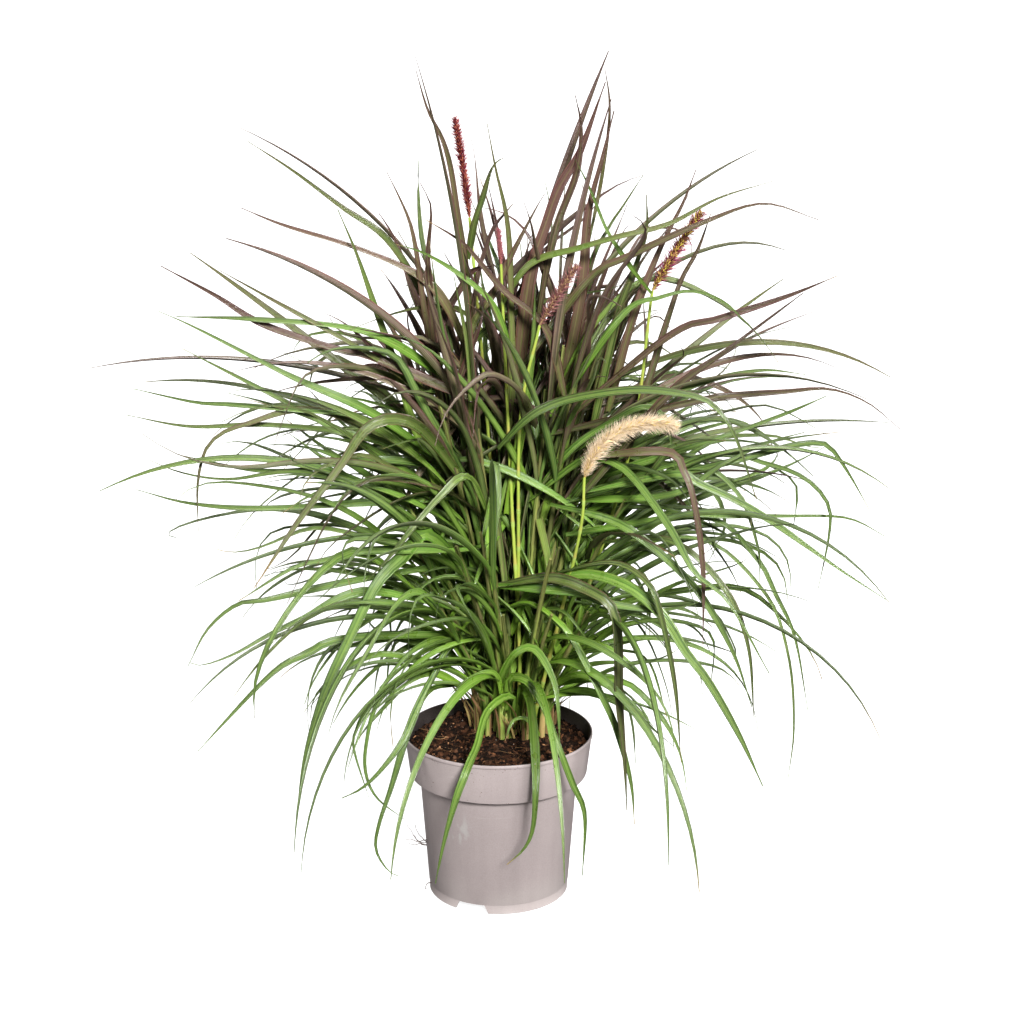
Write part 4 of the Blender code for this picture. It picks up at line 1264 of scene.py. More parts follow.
def make_fibres(rng, count):
    """Pale peat fibres and bits of straw, lying on the soil."""
    lines = []
    for _ in range(count):
        radius = 0.098 * rng.random() ** 0.5
        angle = rng.uniform(0, 2 * pi)
        x, y = radius * cos(angle), radius * sin(angle)
        heading = rng.uniform(0, 360)
        length = rng.uniform(0.006, 0.026)
        curl = rng.uniform(-130, 130)
        points = []
        for step in range(7):
            points.append(Vector((x, y, soil_height(x, y) + 0.0012 + 0.0022 * rng.random())))
            turn = radians(heading + curl * step / 6)
            x += cos(turn) * length / 6
            y += sin(turn) * length / 6
        if max(point.xy.length for point in points) > 0.104:
            continue
        width = rng.uniform(0.0002, 0.0006)
        widths = [width * (1 - 0.5 * step / 6) for step in range(7)]
        lines.append(Line(softened(points), widths, flat=0.0, light=rng.uniform(-1, 1)))
    material = bit_finish("peat_fibre", (0.070, 0.034, 0.016), (0.340, 0.210, 0.110))
    swept_piece("peat_fibres", lines, material, "soil", sides=5)


# Each root thread: the height and azimuth where it is caught on the pot, and its length
ROOT_THREADS = (
    (0.060, 186, 0.046),
    (0.064, 190, 0.034),
    (0.055, 183, 0.036),
    (0.068, 192, 0.024),
    (0.058, 188, 0.028),
    (0.012, 195, 0.030),
)


def make_root_threads(rng):
    """Fine roots and dry threads caught on the left of the pot."""
    lines = []
    for height, turn, length in ROOT_THREADS:
        wall = HEEL_RADIUS + (NECK_RADIUS - HEEL_RADIUS) * (height - FOOT_HEIGHT) / BODY_HEIGHT
        a = radians(turn)
        points = [Vector((cos(a) * wall, sin(a) * wall, height))]
        heading = turn + rng.uniform(-30, 30)
        lean = rng.uniform(70, 105)
        for _ in range(12):
            heading += rng.uniform(-42, 42)
            lean += rng.uniform(-38, 38)
            points.append(points[-1] + direction(heading, lean) * length / 12)
            points[-1].z = max(points[-1].z, 0.002)
        widths = [0.00055 * (1 - 0.6 * index / 12) for index in range(13)]
        lines.append(Line(softened(points), widths, flat=0.0, light=rng.uniform(-1, 1)))
    material = bit_finish("root_thread", (0.050, 0.026, 0.020), (0.140, 0.085, 0.065))
    swept_piece("root_threads", lines, material, "shoot", sides=5)


# --- shoots, blades, culms and spikes ------------------------------------------------------------


def shoot_radius(share):
    return SHOOT_RADIUS + (SHOOT_TIP_RADIUS - SHOOT_RADIUS) * share


def slim_radius(share):
    """The radius of a finished main shoot, slimmer than its solid."""
    return 0.62 * shoot_radius(share)


def sheath_lines(points, radius_at, rng, joints, oldness):
    """The stem of a shoot and the rolled leaf sheaths that overlap up its length."""
    count = 30
    stem = evenly(points, count)
    shares = even_shares(count)
    widths = [radius_at(share) * (0.98 - 0.16 * ((share * joints) % 1.0)) for share in shares]
    ages = [max(0.0, oldness - 2.2 * share) for share in shares]
    wines = [held(1.1 * share - 0.35, 0.55) for share in shares]
    light = rng.uniform(-1, 1)
    lines = [Line(stem, widths, flat=0.0, wine=wines, light=light, age=ages)]
    around = rng.uniform(0, 360)
    for joint in range(joints):
        for side in range(2):
            first = max(0.0, (joint - 0.25 + 0.4 * side) / joints)
            last = min(0.995, first + rng.uniform(1.0, 1.5) / joints)
            around += 180 + rng.uniform(-30, 30)
            worn = rng.uniform(0.5, 1.9)
            strip, widths, facing, ages = [], [], [], []
            for step in range(9):
                t = step / 8
                share = first + (last - first) * t
                point, heading = point_along(points, share)
                away = direction(around + 20 * t, 90)
                away = (away - heading * away.dot(heading)).normalized()
                lift = radius_at(share) * (0.80 + 0.45 * t * t)
                strip.append(point + away * lift)
                widths.append(radius_at(share) * (1.15 - 0.45 * t**3) * (0.6 + 0.4 * min(1, 5 * t)))
                facing.append(away.cross(heading).normalized())
                ages.append(max(0.0, oldness * worn - 2.2 * share))
            wine = held(1.1 * last - 0.3 + rng.uniform(-0.1, 0.1), 0.6)
            light = rng.uniform(-1, 1)
            lines.append(Line(strip, widths, facing=facing, wine=wine, light=light, age=ages))
    return lines


def make_shoots(rng):
    for number, row in enumerate(SHOOTS, start=1):
        name = f"shoot_{number:02d}"
        lines = sheath_lines(shoot_path(*row), slim_radius, rng, 5, rng.uniform(0.2, 0.9))
        swept_piece(
            "sheathed_" + name, lines, stem_finish(), "shoot", name,
            sides=10, thickness=0.14, fold=0.70,
        )


def blade_line(
    shoot, share, stem_radius, azimuth, lean, bend, power, length, width,
    sway, twist, habit=None, fineness=1.0, **tints,
):
    """One blade: it leaves its sheath along the shoot, bends over and ends in a fine point."""
    point, heading = point_along(shoot, share)
    away = direction(azimuth, 90)
    away = (away - heading * away.dot(heading)).normalized()
    clear = stem_radius + width * BLADE_THICKNESS * BLADE_ROOT_WIDTH / 2 + GAP
    start = point + away * clear
    tuck = min(0.022, share * 0.1)
    foot = point - heading * tuck + away * clear * 0.55
    throat = point - heading * tuck * 0.45 + away * clear * 0.85
    free = bending_path(start, azimuth, lean, bend, power, length, BLADE_STEPS, sway, habit)
    points = softened([foot, throat, *free])
    shares = [0.0, 0.0, *even_shares(BLADE_STEPS + 1)]
    half_widths = [width / 2 * blade_width(s, fineness) for s in shares]
    half_widths[0] *= 0.6
    turns = [twist * min(1.0, s / BLADE_TWIST_LENGTH) for s in shares]
    if habit:
        half_widths = [half * habit.swell(s) for half, s in zip(half_widths, shares)]
        turns = [turn + habit.roll(s) for turn, s in zip(turns, shares)]
    return Line(points, half_widths, turns, **tints)


def tints_of(rng, wine, fresh, count=BLADE_POINTS):
    """Tints of one blade: more wine towards its tip, its own shade, young yellow green that is
    partly painted glow, and dryness.
    """
    shares = even_shares(count)
    wines = [max(0.0, wine * (1 + WINE_GAIN * (2 * s - 1.0))) for s in shares]
    youth_and_glow = [max(0.0, fresh) * (1 - 0.9 * s) ** 1.2 for s in shares]
    return {"wine": wines, "light": rng.uniform(-1, 1), "age": rng.random(), "fresh": youth_and_glow}


def make_leading_blades(rng):
    for number, row in enumerate(LEADING_BLADES, start=1):
        shoot, share, azimuth, lean, bend, power, length, width, wine = row
        # Young yellow green for the outer shoots' blades, partly painted glow
        fresh = max(0.0, 0.5 - wine) if shoot > 9 else 0.0
        line = blade_line(
            shoot_path(*SHOOTS[shoot - 1]), share, shoot_radius(share),
            azimuth, lean, bend, power, length, width * 1.12,
            sway=BLADE_SWAY * sin(2.4 * number),
            twist=radians(BLADE_TWIST * cos(1.7 * number)), fineness=0.85,
            **tints_of(rng, wine, fresh),
        )
        name = f"leading_blade_{number:02d}"
        swept_piece(name, [line], blade_finish(), "leaf", f"leaf_{number:02d}")


def tiller_rows(rng, inner, outer):
    """The small shoots between the main ones: azimuth, distance from the middle, lean, length."""
    rows = []
    for number in range(inner):
        azimuth = (number * TILLER_TURN + rng.uniform(-20, 20)) % 360
        if 235 < azimuth < 305:  # the front stays open
            azimuth += 90
        offset = 0.006 + 0.030 * ((number + 0.5) / inner) ** 0.5
        rows.append((azimuth, offset, rng.uniform(3, 15), rng.uniform(0.34, 0.50)))
    for number in range(outer):
        azimuth = (number * TILLER_TURN + rng.uniform(-20, 20)) % 360
        offset = rng.uniform(0.036, 0.052)
        rows.append((azimuth, offset, rng.uniform(16, 34), rng.uniform(0.16, 0.32)))
    return rows


def tiller_radius(share):
    return 0.0034 - 0.0016 * share


# How far from the plant's middle a blade may reach, at each height
REACH_HEIGHTS = (0.0, 0.10, 0.20, 0.30, 0.45, 0.60, 0.70, 0.80, 0.90, 1.02)
REACHES = (0.25, 0.33, 0.40, 0.44, 0.47, 0.465, 0.43, 0.34, 0.23, 0.12)
# Where the plant's left side is slimmer: lowest and highest height, highest x, share of the reach
SLIM_PARTS = ((0.68, 2.0, -0.04, 0.60), (0.30, 0.55, -0.15, 0.90))
LOWEST_POINT, HIGHEST_POINT, HALF_DEPTH = 0.05, 1.01, 0.42
BARE_RADIUS, BARE_HEIGHT = 0.135, 0.235  # the space round the pot that blades keep out of


def before_pot(point):
    """Whether a point lies before the pot, seen from the front and from a little above."""
    return abs(point.x - 0.01) < 0.125 and point.y < -0.06 and point.z < 0.225 - 0.36 * point.y


def stays_clear(points, share):
    """Whether a blade keeps within a share of the plant's reach, and clear of the pot's front."""
    for point in points[4:]:
        radius = point.xy.length
        reach = np.interp(point.z, REACH_HEIGHTS, REACHES) * share
        for low, high, left, kept in SLIM_PARTS:
            if low < point.z < high and point.x < left:
                reach *= kept
        if not LOWEST_POINT <= point.z <= HIGHEST_POINT or radius > reach:
            return False
        if point.z < BARE_HEIGHT and radius < BARE_RADIUS:
            return False
        if before_pot(point) or abs(point.y) > HALF_DEPTH:
            return False
    return True


def culm_fronts():
    """Heights, x and y along each culm that shows at the plant's front."""
    fronts = []
    for knots, _ in CULMS[1:]:
        xs, ys, heights = zip(*culm_line(knots))
        fronts.append((heights, xs, ys))
    return fronts


# Two tests below look at blades from the front. In both a point counts as this much higher for
# each metre that it lies nearer.
NEARNESS_RISE = 0.29

# Parts of the clump that many blades leave open: lowest and highest x, lowest and highest height,
# the y that a blade must lie before, the share of such blades left out
OPEN_PARTS = (
    (-0.075, 0.100, 0.29, 0.62, -0.05, 0.88),
    (0.020, 0.140, 0.74, 0.95, 0.10, 0.45),
    (0.230, 0.380, 0.58, 0.76, 0.30, 0.60),
    (-0.360, -0.110, 0.22, 0.48, 0.10, 0.30),
    (0.130, 0.240, 0.38, 0.50, -0.05, 0.35),
)


def fills_open_part(points, rng):
    """Whether a blade runs over a part of the clump that it should leave open."""
    for left, right, low, high, near, share in OPEN_PARTS:
        over = any(
            point.y < near
            and left < point.x < right
            and low < point.z - NEARNESS_RISE * point.y < high
            for point in points
        )
        if over and rng.random() < share:
            return True
    return False


def spike_windows():
    """The lowest and highest corner of the space that each spike takes up."""
    windows = []
    for knots, (azimuth, lean, bend, length, radius) in CULMS:
        points = bending_path(culm_line(knots)[-1], azimuth, lean, bend, 1.0, length, 12)
        windows.append([(min(values) - radius, max(values) + radius) for values in zip(*points)])
    return windows


def hides_spike(points, windows):
    """Whether a blade passes before a spike or, nearer the front, a little below it."""
    for (left, right), (near, _), (low, high) in windows:
        for point in points:
            height = point.z + NEARNESS_RISE * (near - point.y)
            if point.y < near and left < point.x < right and low < height < high:
                return True
    return False


def crosses_culm(points, fronts):
    """Whether a blade passes in front of one of the culms that show."""
    for heights, xs, ys in fronts:
        sides = []
        for point in points:
            before = point.y < np.interp(point.z, heights, ys)
            shown = before and heights[0] + 0.03 < point.z < heights[-1]
            aside = point.x - np.interp(point.z, heights, xs)
            if shown and abs(aside) < 0.007:
                return True
            sides.append(aside > 0 if shown else None)
        if any(a is not None and b is not None and a != b for a, b in zip(sides, sides[1:])):
            return True
    return False


# The lowest and highest added lean, bend, power, length and width of a blade, by where it grows
BLADE_SHAPES = {
    "upright": ((1, 20), (0, 30), (1.3, 1.3), (0.16, 0.36), (0.0085, 0.0130)),
    "upper": ((12, 40), (25, 85), (1.2, 1.2), (0.27, 0.43), (0.0080, 0.0120)),
    "middle": ((8, 38), (35, 95), (0.7, 1.6), (0.28, 0.46), (0.0075, 0.0120)),
    "lower": ((10, 46), (50, 125), (0.6, 1.5), (0.20, 0.42), (0.0070, 0.0115)),
}
UPRIGHT_ODDS = 0.55
CULM_CLEAR_ODDS = 0.8  # that a blade which crosses a culm is left out
SPIKE_CLEAR_ODDS = 0.9  # that a blade which hides a spike is left out


def random_shape(rng, level):
    """One blade's added lean, bend, power, length and width, at a level from 0, soil, to 1, top."""
    if level > 0.60:
        kind = "upright" if rng.random() < UPRIGHT_ODDS else "upper"
    else:
        kind = "middle" if level > 0.32 else "lower"
    return [low if low == high else rng.uniform(low, high) for low, high in BLADE_SHAPES[kind]]


def random_blade(rng, shoot, row, share, radius_at, fronts, windows):
    """One of the many blades between the leading ones, or None if it strays or hides a flower."""
    shoot_azimuth, _, shoot_lean, _ = row
    start, _ = point_along(shoot, share)
    level = (start.z - SOIL_TOP) / 0.5
    spread = 30 + 70 * max(0.0, 1 - shoot_lean / 15)
    azimuth = shoot_azimuth + rng.gauss(0, spread)
    if rng.random() < 0.15:  # a few grow back over the clump
        azimuth += 180
    more_lean, bend, power, length, width = random_shape(rng, level)
    wine = held(2.9 * level - 1.28 + rng.gauss(0, 0.34))
    # Young yellow green, partly painted glow, strongest on blades that start low
    fresh = held(1.42 - 1.9 * level) * rng.uniform(0.35, 1.0)
    if rng.random() < 0.10:  # and a few are young at any height
        fresh, wine = rng.uniform(0.6, 1.0), wine * 0.3
    twist = radians(rng.uniform(30, 85) * rng.choice((-1, 1)))
    lean = shoot_lean * 0.8 + more_lean
    line = blade_line(
        shoot, share, radius_at(share), azimuth, lean, bend, power, length, width,
        sway=rng.gauss(0, 20), twist=twist, habit=Habit(rng),
        fineness=rng.uniform(0.8, 1.3), **tints_of(rng, wine, fresh),
    )
    tip = line.points[-1]
    least_reach = 0.82 if tip.x > 0.1 and tip.z > 0.42 else 0.62  # the upper right is fuller
    if not stays_clear(line.points, rng.uniform(least_reach, 1.0)):
        return None
    if rng.random() < CULM_CLEAR_ODDS and crosses_culm(line.points, fronts):
        return None
    if fills_open_part(line.points, rng):
        return None
    if rng.random() < SPIKE_CLEAR_ODDS and hides_spike(line.points, windows):
        return None
    return line


FRONT_UP = Vector((0.0, -0.8, 0.6))
SINGLE_BLADES = (("high", HIGH_BLADES, 0.8), ("side", SIDE_BLADES, 0.8), ("front", FRONT_BLADES, 1.0))


def make_chosen_blades(rng):
    """The single blades set out one by one, with their faces turned outwards at the plant's front."""
    for name, rows, fold in SINGLE_BLADES:
        lines = []
        for width, wine, fresh, *knots in rows:
            count = 30
            points = evenly(smooth_line([Vector(knot) for knot in knots], 8), count)
            habit = Habit(rng, 3)
            shares = even_shares(count)
            half_widths = [width / 2 * blade_width(s, 0.9) * habit.swell(s) for s in shares]
            twist, ripple = radians(rng.uniform(-40, 40)), radians(rng.uniform(5, 30))
            turns = [twist * (1 - s) + ripple * sin(7 * s + 6 * habit.phase) for s in shares]
            tints = tints_of(rng, wine, fresh, count)
            if name == "front":
                tints["light"] = tints["light"] * 0.6 - 0.4
            lines.append(Line(points, half_widths, turns, up=FRONT_UP, **tints))
        swept_piece(f"{name}_single_blades", lines, blade_finish(), "leaf", fold=fold)


SECTORS = ("right", "back_right", "back_left", "left", "front_left", "front_right")
TIER_HEIGHT = 0.46  # a blade that starts above it is one of the upper ones
TRIES = 12  # how often a blade is drawn anew before its place is left empty
# How far up a main shoot, an inner and an outer small shoot the lowest blade may grow
LOWEST_ON_SHOOT, LOWEST_ON_INNER, LOWEST_ON_OUTER = 0.30, 0.42, 0.16


def make_blades(sizes, rng):
    """The many blades between the leading ones. Returns the small shoots that carry some of them."""
    groups = {}
    fronts, windows = culm_fronts(), spike_windows()
    tillers = tiller_rows(rng, sizes.inner_tillers, sizes.outer_tillers)
    rows = [(row, shoot_radius, sizes.blades_per_shoot, LOWEST_ON_SHOOT) for row in SHOOTS]
    for number, row in enumerate(tillers):
        inner = number < sizes.inner_tillers
        count = sizes.blades_per_inner_tiller if inner else sizes.blades_per_outer_tiller
        rows.append((row, tiller_radius, count, LOWEST_ON_INNER if inner else LOWEST_ON_OUTER))
    for row, radius_at, count, lowest in rows:
        shoot = shoot_path(*row)
        for number in range(count):
            share = lowest + (0.99 - lowest) * (number + rng.random()) / count
            for _ in range(TRIES):
                line = random_blade(rng, shoot, row, share, radius_at, fronts, windows)
                if line:
                    break
            if not line:
                continue
            tip = line.points[-1]
            angle = (np.degrees(np.arctan2(tip.y, tip.x)) + 30) % 360
            tier = "upper" if line.points[0].z > TIER_HEIGHT else "lower"
            groups.setdefault((SECTORS[int(angle // 60)], tier), []).append(line)
    for (sector, tier), lines in sorted(groups.items()):
        swept_piece(f"{tier}_blades_{sector}", lines, blade_finish(), "leaf")
    return tillers


def make_inner_blades(rng, count):
    """Old blades that stand close together in the heart of the clump, coloured darker as painted shade."""
    lines = []
    fronts = culm_fronts()
    for _ in range(count):
        azimuth = rng.uniform(0, 360)
        offset = 0.044 * rng.random() ** 0.5
        row = (azimuth, offset, rng.uniform(0, 12) + 120 * offset, 0.40)
        line = blade_line(
            shoot_path(*row), rng.uniform(0.05, 0.55), 0.003, rng.uniform(0, 360), rng.uniform(1, 12),
            rng.uniform(0, 25), 1.2, rng.uniform(0.20, 0.34), rng.uniform(0.008, 0.012),
            sway=rng.gauss(0, 20), twist=radians(rng.uniform(-85, 85)), habit=Habit(rng, 3, 0.1, 0.1),
            **tints_of(rng, rng.uniform(-0.5, 0.7), rng.uniform(-1.5, 0.9)),
        )
        # Painted shade: these blades take the darker end of the blade colours
        line.values["light"] = [rng.uniform(-1.0, 0.1)] * len(line.points)
        if min(point.y for point in line.points) > -0.012 and not crosses_culm(line.points, fronts):
            lines.append(line)
    swept_piece("inner_blades", lines, blade_finish(), "leaf")


def make_tillers(rows, rng):
    halves = {"front": [], "back": []}
    for row in rows:
        lines = sheath_lines(shoot_path(*row), tiller_radius, rng, 4, rng.uniform(0.2, 0.9))
        halves["back" if row[0] % 360 < 180 else "front"] += lines
    for half, lines in halves.items():
        swept_piece("small_shoots_" + half, lines, stem_finish(), "shoot", thickness=0.14, fold=0.70)


def make_dead_sheaths(rng, count):
    """Dry brown sheaths and stubs standing round the foot of the shoots."""
    lines = []
    for _ in range(count):
        azimuth = rng.uniform(0, 360)
        offset = rng.uniform(0.020, 0.055)
        start = CROWN + direction(azimuth, 90) * offset
        start.z = soil_height(start.x, start.y) - 0.003
        lean = rng.uniform(2, 24)
        length = rng.uniform(0.030, 0.110)
        towards = azimuth + rng.gauss(0, 30)
        bend = rng.uniform(-15, 40)
        sway = rng.gauss(0, 40)
        points = bending_path(start, towards, lean, bend, 1.2, length, 10, sway, Habit(rng, 14))
        width = rng.uniform(0.0012, 0.0030)
        widths = [width * max(0.12, (1 - (step / 10) ** 2.5)) for step in range(11)]
        turns = [rng.uniform(-2, 2)] * 11
        light = rng.uniform(-1, 1)
        lines.append(Line(points, widths, turns, light=light, age=rng.uniform(0.85, 1.6)))
    swept_piece("dry_sheaths", lines, stem_finish(), "shoot", thickness=0.12, fold=0.6)


def culm_line(knots):
    """The smooth line of a culm, from its foot on the soil to the foot of its spike."""
    foot = Vector((*knots[0], SOIL_TOP + GAP))
    upright = foot + Vector((0.0, 0.0, 0.012))
    line = smooth_line([upright] + [Vector(knot) for knot in knots[1:]], 16)
    line.insert(0, foot)
    return line


def make_culms(rng):
    for number, (knots, _) in enumerate(CULMS, start=1):
        count = 120
        points = evenly(culm_line(knots), count)
        joints = 9 + number % 3
        widths, joint_values, wines = [], [], []
        for share in even_shares(count):
            near = abs(((share * joints + 0.3) % 1.0) - 0.5) * (count / joints)
            swell = max(0.0, 1 - near / 1.3)
            widths.append(CULM_RADIUS * (1.12 - 0.40 * share) * (0.96 + 0.30 * swell))
            joint_values.append(swell)
            since = (share * joints + 0.8) % 1.0
            wines.append(held((0.9 - 2.2 * since) * (0.6 if share < 0.75 else 0.3)))
        light = rng.uniform(-1, 1)
        line = Line(points, widths, flat=0.0, wine=wines, age=joint_values, light=light)
        name = f"culm_{number}"
        swept_piece("flower_" + name, [line], culm_finish(), "culm", name, sides=12)


def make_spikes(sizes):
    for number, (knots, spike) in enumerate(CULMS, start=1):
        azimuth, lean, bend, length, radius = spike
        name, core, tip, bristle, closeness, stoutness = SPIKE_LOOKS[number - 1]
        start = culm_line(knots)[-1] + direction(azimuth, lean) * (2 * GAP)
        points = bending_path(start, azimuth, lean, bend, 1.0, length, 24)
        bulge = [min(1.0, 0.55 + 2.5 * index / 24, 0.55 + 5.0 * (1 - index / 24)) for index in range(25)]
        line = Line(points, bulge, flat=0.0)
        density = length / 0.1
        mesh = through_tree(
            name, line_mesh([line]), spike_tree(),
            Spikelets=int(sizes.spikelets * density),
            Bristles=int(sizes.bristles * density * closeness),
            **{"Spikelet Length": radius, "Bristle Length": bristle, "Bristle Stoutness": stoutness},
            Seed=number, Material=spike_finish(name, core, tip),
        )
        shade_layout(mesh)
        slot_name = name if name in ("spike_burgundy", "spike_cream") else "spike_purple"
        new_piece(f"flower_spike_{number}", mesh, slot_name, f"spike_{number}")


# --- stage ---------------------------------------------------------------------------------------


def add_light(name, azimuth, elevation, spread, strength):
    """A softbox far off. Its azimuth runs the other way round: clockwise from +X, seen from above."""
    data = bpy.data.lights.new(name, "SUN")
    data.energy = strength
    data.angle = radians(spread)
    light = new_object(name, data)
    light.rotation_euler = direction(-azimuth, 90 - elevation).to_track_quat("Z", "Y").to_euler()


def make_stage(looks):
    scene = bpy.context.scene
    size = 30.0
    corners = [(-size, -size, 0.0), (size, -size, 0.0), (size, size, 0.0), (-size, size, 0.0)]
    mesh = new_mesh("studio_floor", corners, [], [(0, 1, 2, 3)])
    mesh.materials.append(floor_finish())
    floor = new_object("studio_floor", mesh)
    floor.location.z = -0.0005
    floor.visible_diffuse = floor.visible_glossy = False

    world = bpy.data.worlds.new("studio")
    world.use_nodes = True
    room = Tree(world.node_tree)
    room.nodes.nodes.clear()
    soft = room.add("ShaderNodeBackground", None, (1.0, 1.0, 1.0, 1.0), looks.ambient)
    backdrop = room.add("ShaderNodeBackground", None, (1.0, 1.0, 1.0, 1.0), 1.0)
    seen = room.add("ShaderNodeLightPath")
    both = room.add("ShaderNodeMixShader", None, seen, soft, backdrop)
    output = room.nodes.nodes.new("ShaderNodeOutputWorld")
    room.feed(output.inputs["Surface"], both)
    scene.world = world
    add_light("front_softbox", 76, 31, 14, looks.key_power)
    add_light("left_softbox", 172, 14, 24, looks.fill_power)
    add_light("right_softbox", 0, 24, 12, looks.side_power)
    add_light("back_softbox", 260, 58, 20, looks.back_power)

    data = bpy.data.cameras.new("camera")
    data.lens = 80.75
    data.sensor_width = 36.0
    data.clip_end = 100.0
    camera = new_object("camera", data)
    camera.location = (0.0, -2.618, 1.248)
    camera.rotation_euler = (radians(73.7), 0.0, radians(-0.3634))
    scene.camera = camera
    scene.view_settings.view_transform = "Standard"
    scene.view_settings.look = "Medium High Contrast"


# --- settings, operators and panel ---------------------------------------------------------------


def colour_setting(name, description, default):
    return bpy.props.FloatVectorProperty(
        name=name, description=description, default=default, size=3, subtype="COLOR", min=0.0, max=1.0
    )


def count_setting(name, description, default):
    return bpy.props.IntProperty(name=name, description=description, default=default, min=1)


def light_setting(name, description, default):
    return bpy.props.FloatProperty(name=name, description=description, default=default, min=0.0)


class GrassSizes(bpy.types.PropertyGroup):
    """How many of each fine thing the clump has."""

    pot_segments: count_setting("Pot segments", "Flat faces round the pot's wall", 256)
    inner_tillers: count_setting("Inner small shoots", "Upright small shoots in the middle", 34)
    outer_tillers: count_setting("Outer small shoots", "Leaning small shoots round the outside", 24)
    blades_per_shoot: count_setting("Blades per shoot", "Blades on each main shoot", 11)
    blades_per_inner_tiller: count_setting("Blades per inner shoot", "Blades on each inner small shoot", 6)
    blades_per_outer_tiller: count_setting("Blades per outer shoot", "Blades on each outer small shoot", 6)
    # The inner blades' darker colour is painted shade
    inner_blades: count_setting("Inner blades", "Old shaded blades in the heart of the clump", 170)
    spikelets: count_setting("Spikelets", "Spikelets on each 10 cm of a flower spike", 210)
    bristles: count_setting("Bristles", "Bristles on each 10 cm of a flower spike", 1500)
    fibres: count_setting("Peat fibres", "Loose fibres lying on the soil", 90)
    dry_sheaths: count_setting("Dry sheaths", "Dead sheaths round the foot of the shoots", 52)


class GrassLooks(bpy.types.PropertyGroup):
    """The colours of the clump, its soil and its pot, and the strength of the studio lights."""

    leaf_deep: colour_setting("Leaf, deep", "Shaded green of a blade", (0.020, 0.066, 0.008))
    leaf_bright: colour_setting("Leaf, bright", "Sunlit green of a blade", (0.135, 0.290, 0.030))
    # Partly painted glow: the yellow green of young blades
    leaf_fresh_and_glow: colour_setting("Leaf, fresh", "Yellow green of a young blade", (0.240, 0.425, 0.028))
    leaf_pale: colour_setting("Leaf, pale", "Pale bands beside a midrib", (0.330, 0.450, 0.120))
    wine_deep: colour_setting("Wine, deep", "Darkest purple brown of a blade", (0.038, 0.017, 0.015))
    wine_light: colour_setting("Wine, light", "Lightest purple brown of a blade", (0.155, 0.082, 0.070))
    # These two greys are the blades' waxy coat and also painted sheen on the outer blades
    bloom_and_sheen: colour_setting("Bloom, green", "Grey bloom of a green blade", (0.115, 0.145, 0.092))
    wine_bloom_and_sheen: colour_setting("Bloom, wine", "Grey pink bloom of a purple blade", (0.200, 0.150, 0.125))
    margin: colour_setting("Margin", "Thin red edge of a blade", (0.220, 0.060, 0.060))
    straw: colour_setting("Straw", "Dry tips and old sheaths", (0.420, 0.280, 0.130))
    dead_brown: colour_setting("Dead brown", "Dead sheaths and joint rings", (0.120, 0.055, 0.030))
    stem_green: colour_setting("Stem green", "Green of a shoot", (0.080, 0.170, 0.022))
    stem_yellow: colour_setting("Stem yellow", "Yellow green of a shoot", (0.420, 0.500, 0.130))
    culm_green: colour_setting("Culm green", "Green of a flower stem", (0.220, 0.340, 0.050))
    culm_yellow: colour_setting("Culm yellow", "Yellow of a flower stem", (0.460, 0.520, 0.110))
    culm_tan: colour_setting("Culm tan", "Tan and pink between joints", (0.500, 0.280, 0.120))
    # Also the painted shade inside the pot
    peat_dark_and_pot_shade: colour_setting("Peat, dark", "Darkest peat", (0.008, 0.005, 0.004))
    soil_warm: colour_setting("Peat, warm", "Brown peat", (0.060, 0.026, 0.014))
    soil_fibre: colour_setting("Peat fibre", "Fibres in the peat", (0.200, 0.110, 0.060))
    pot_low: colour_setting("Pot, darker", "Darker clouds of the pot's taupe", (0.305, 0.262, 0.256))
    pot_high: colour_setting("Pot, lighter", "Lighter clouds of the pot's taupe", (0.385, 0.332, 0.325))
    dust: colour_setting("Dust", "Dust and scuffs on the pot", (0.560, 0.520, 0.490))
    smudge: colour_setting("Smudge", "Pale wiped mark on the pot", (0.470, 0.480, 0.460))
    ambient: light_setting("Ambient", "Strength of the white room", 0.16)
    key_power: light_setting("Front light", "Strength of the front softbox", 5.4)
    fill_power: light_setting("Left light", "Strength of the left softbox", 1.4)
    side_power: light_setting("Right light", "Strength of the right softbox", 2.0)
    back_power: light_setting("Back light", "Strength of the softbox behind", 1.8)


class GRASS_OT_pot(bpy.types.Operator):
    """Make the nursery pot with its collar, foot ring and drain notches"""

    bl_idname = "grass.pot"
    bl_label = "Pot"

    def execute(self, context):
        make_pot(context.scene.grass_sizes)
        return {"FINISHED"}


class GRASS_OT_soil(bpy.types.Operator):
    """Make the peat soil with its crumbs, bark, grains and fibres"""

    bl_idname = "grass.soil"
    bl_label = "Soil"

    def execute(self, context):
        make_bits(make_soil())
        make_fibres(Random(5), context.scene.grass_sizes.fibres)
        make_root_threads(Random(9))
        return {"FINISHED"}


class GRASS_OT_shoots(bpy.types.Operator):
    """Make the main shoots, each a bundle of rolled sheaths"""

    bl_idname = "grass.shoots"
    bl_label = "Shoots"

    def execute(self, context):
        make_shoots(Random(11))
        return {"FINISHED"}


class GRASS_OT_leading_blades(bpy.types.Operator):
    """Make the leading blades, one for each blade that is a solid"""

    bl_idname = "grass.leading_blades"
    bl_label = "Leading blades"

    def execute(self, context):
        make_leading_blades(Random(21))
        return {"FINISHED"}


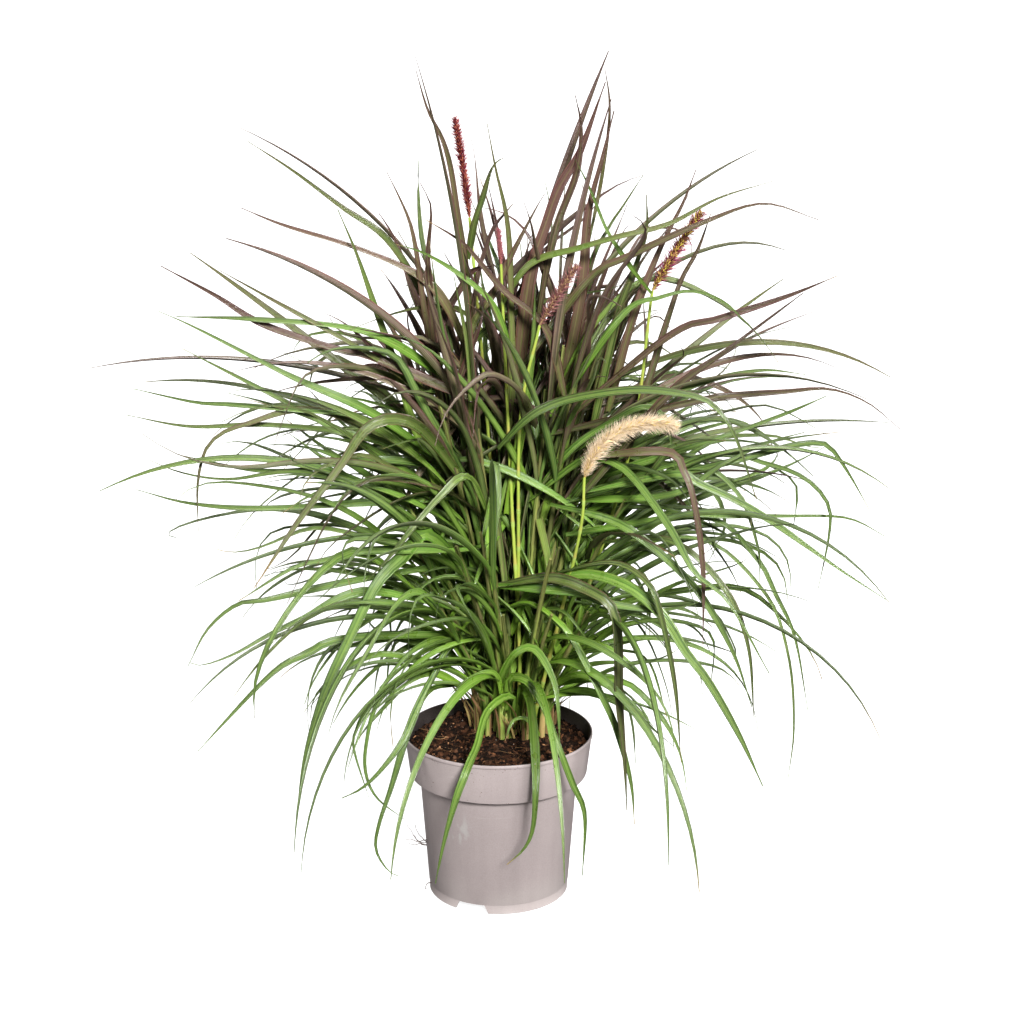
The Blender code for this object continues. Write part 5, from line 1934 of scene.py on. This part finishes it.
class GRASS_OT_blades(bpy.types.Operator):
    """Make the many other blades, the small shoots that carry them and the dry sheaths"""

    bl_idname = "grass.blades"
    bl_label = "Other blades"

    def execute(self, context):
        sizes = context.scene.grass_sizes
        make_chosen_blades(Random(81))
        tillers = make_blades(sizes, Random(31))
        make_tillers(tillers, Random(41))
        make_inner_blades(Random(91), sizes.inner_blades)
        make_dead_sheaths(Random(51), sizes.dry_sheaths)
        return {"FINISHED"}


class GRASS_OT_flowers(bpy.types.Operator):
    """Make the jointed culms and their bristly flower spikes"""

    bl_idname = "grass.flowers"
    bl_label = "Culms and spikes"

    def execute(self, context):
        make_culms(Random(61))
        make_spikes(context.scene.grass_sizes)
        return {"FINISHED"}


class GRASS_OT_stage(bpy.types.Operator):
    """Make the floor, the lights and the camera"""

    bl_idname = "grass.stage"
    bl_label = "Stage"

    def execute(self, context):
        make_stage(context.scene.grass_looks)
        return {"FINISHED"}


OPERATORS = (
    GRASS_OT_pot,
    GRASS_OT_soil,
    GRASS_OT_shoots,
    GRASS_OT_leading_blades,
    GRASS_OT_blades,
    GRASS_OT_flowers,
    GRASS_OT_stage,
)


class GRASS_PT_clump(bpy.types.Panel):
    """Lists the clump's sizes, looks and pieces"""

    bl_idname = "GRASS_PT_clump"
    bl_label = "Fountain grass clump"
    bl_space_type = "VIEW_3D"
    bl_region_type = "UI"
    bl_category = "Fountain Grass"

    def draw(self, context):
        for group in (context.scene.grass_sizes, context.scene.grass_looks):
            for name in group.bl_rna.properties.keys():
                if name not in ("rna_type", "name"):
                    self.layout.prop(group, name)
        for operator in OPERATORS:
            self.layout.operator(operator.bl_idname)


CLASSES = (GrassSizes, GrassLooks, *OPERATORS, GRASS_PT_clump)


def register():
    for each in CLASSES:
        bpy.utils.register_class(each)
    bpy.types.Scene.grass_sizes = bpy.props.PointerProperty(type=GrassSizes)
    bpy.types.Scene.grass_looks = bpy.props.PointerProperty(type=GrassLooks)


def unregister():
    del bpy.types.Scene.grass_sizes
    del bpy.types.Scene.grass_looks
    for each in reversed(CLASSES):
        bpy.utils.unregister_class(each)


def main():
    register()
    bpy.ops.grass.pot()
    bpy.ops.grass.soil()
    bpy.ops.grass.shoots()
    bpy.ops.grass.leading_blades()
    bpy.ops.grass.blades()
    bpy.ops.grass.flowers()
    bpy.ops.grass.stage()


if __name__ == "__main__":
    main()
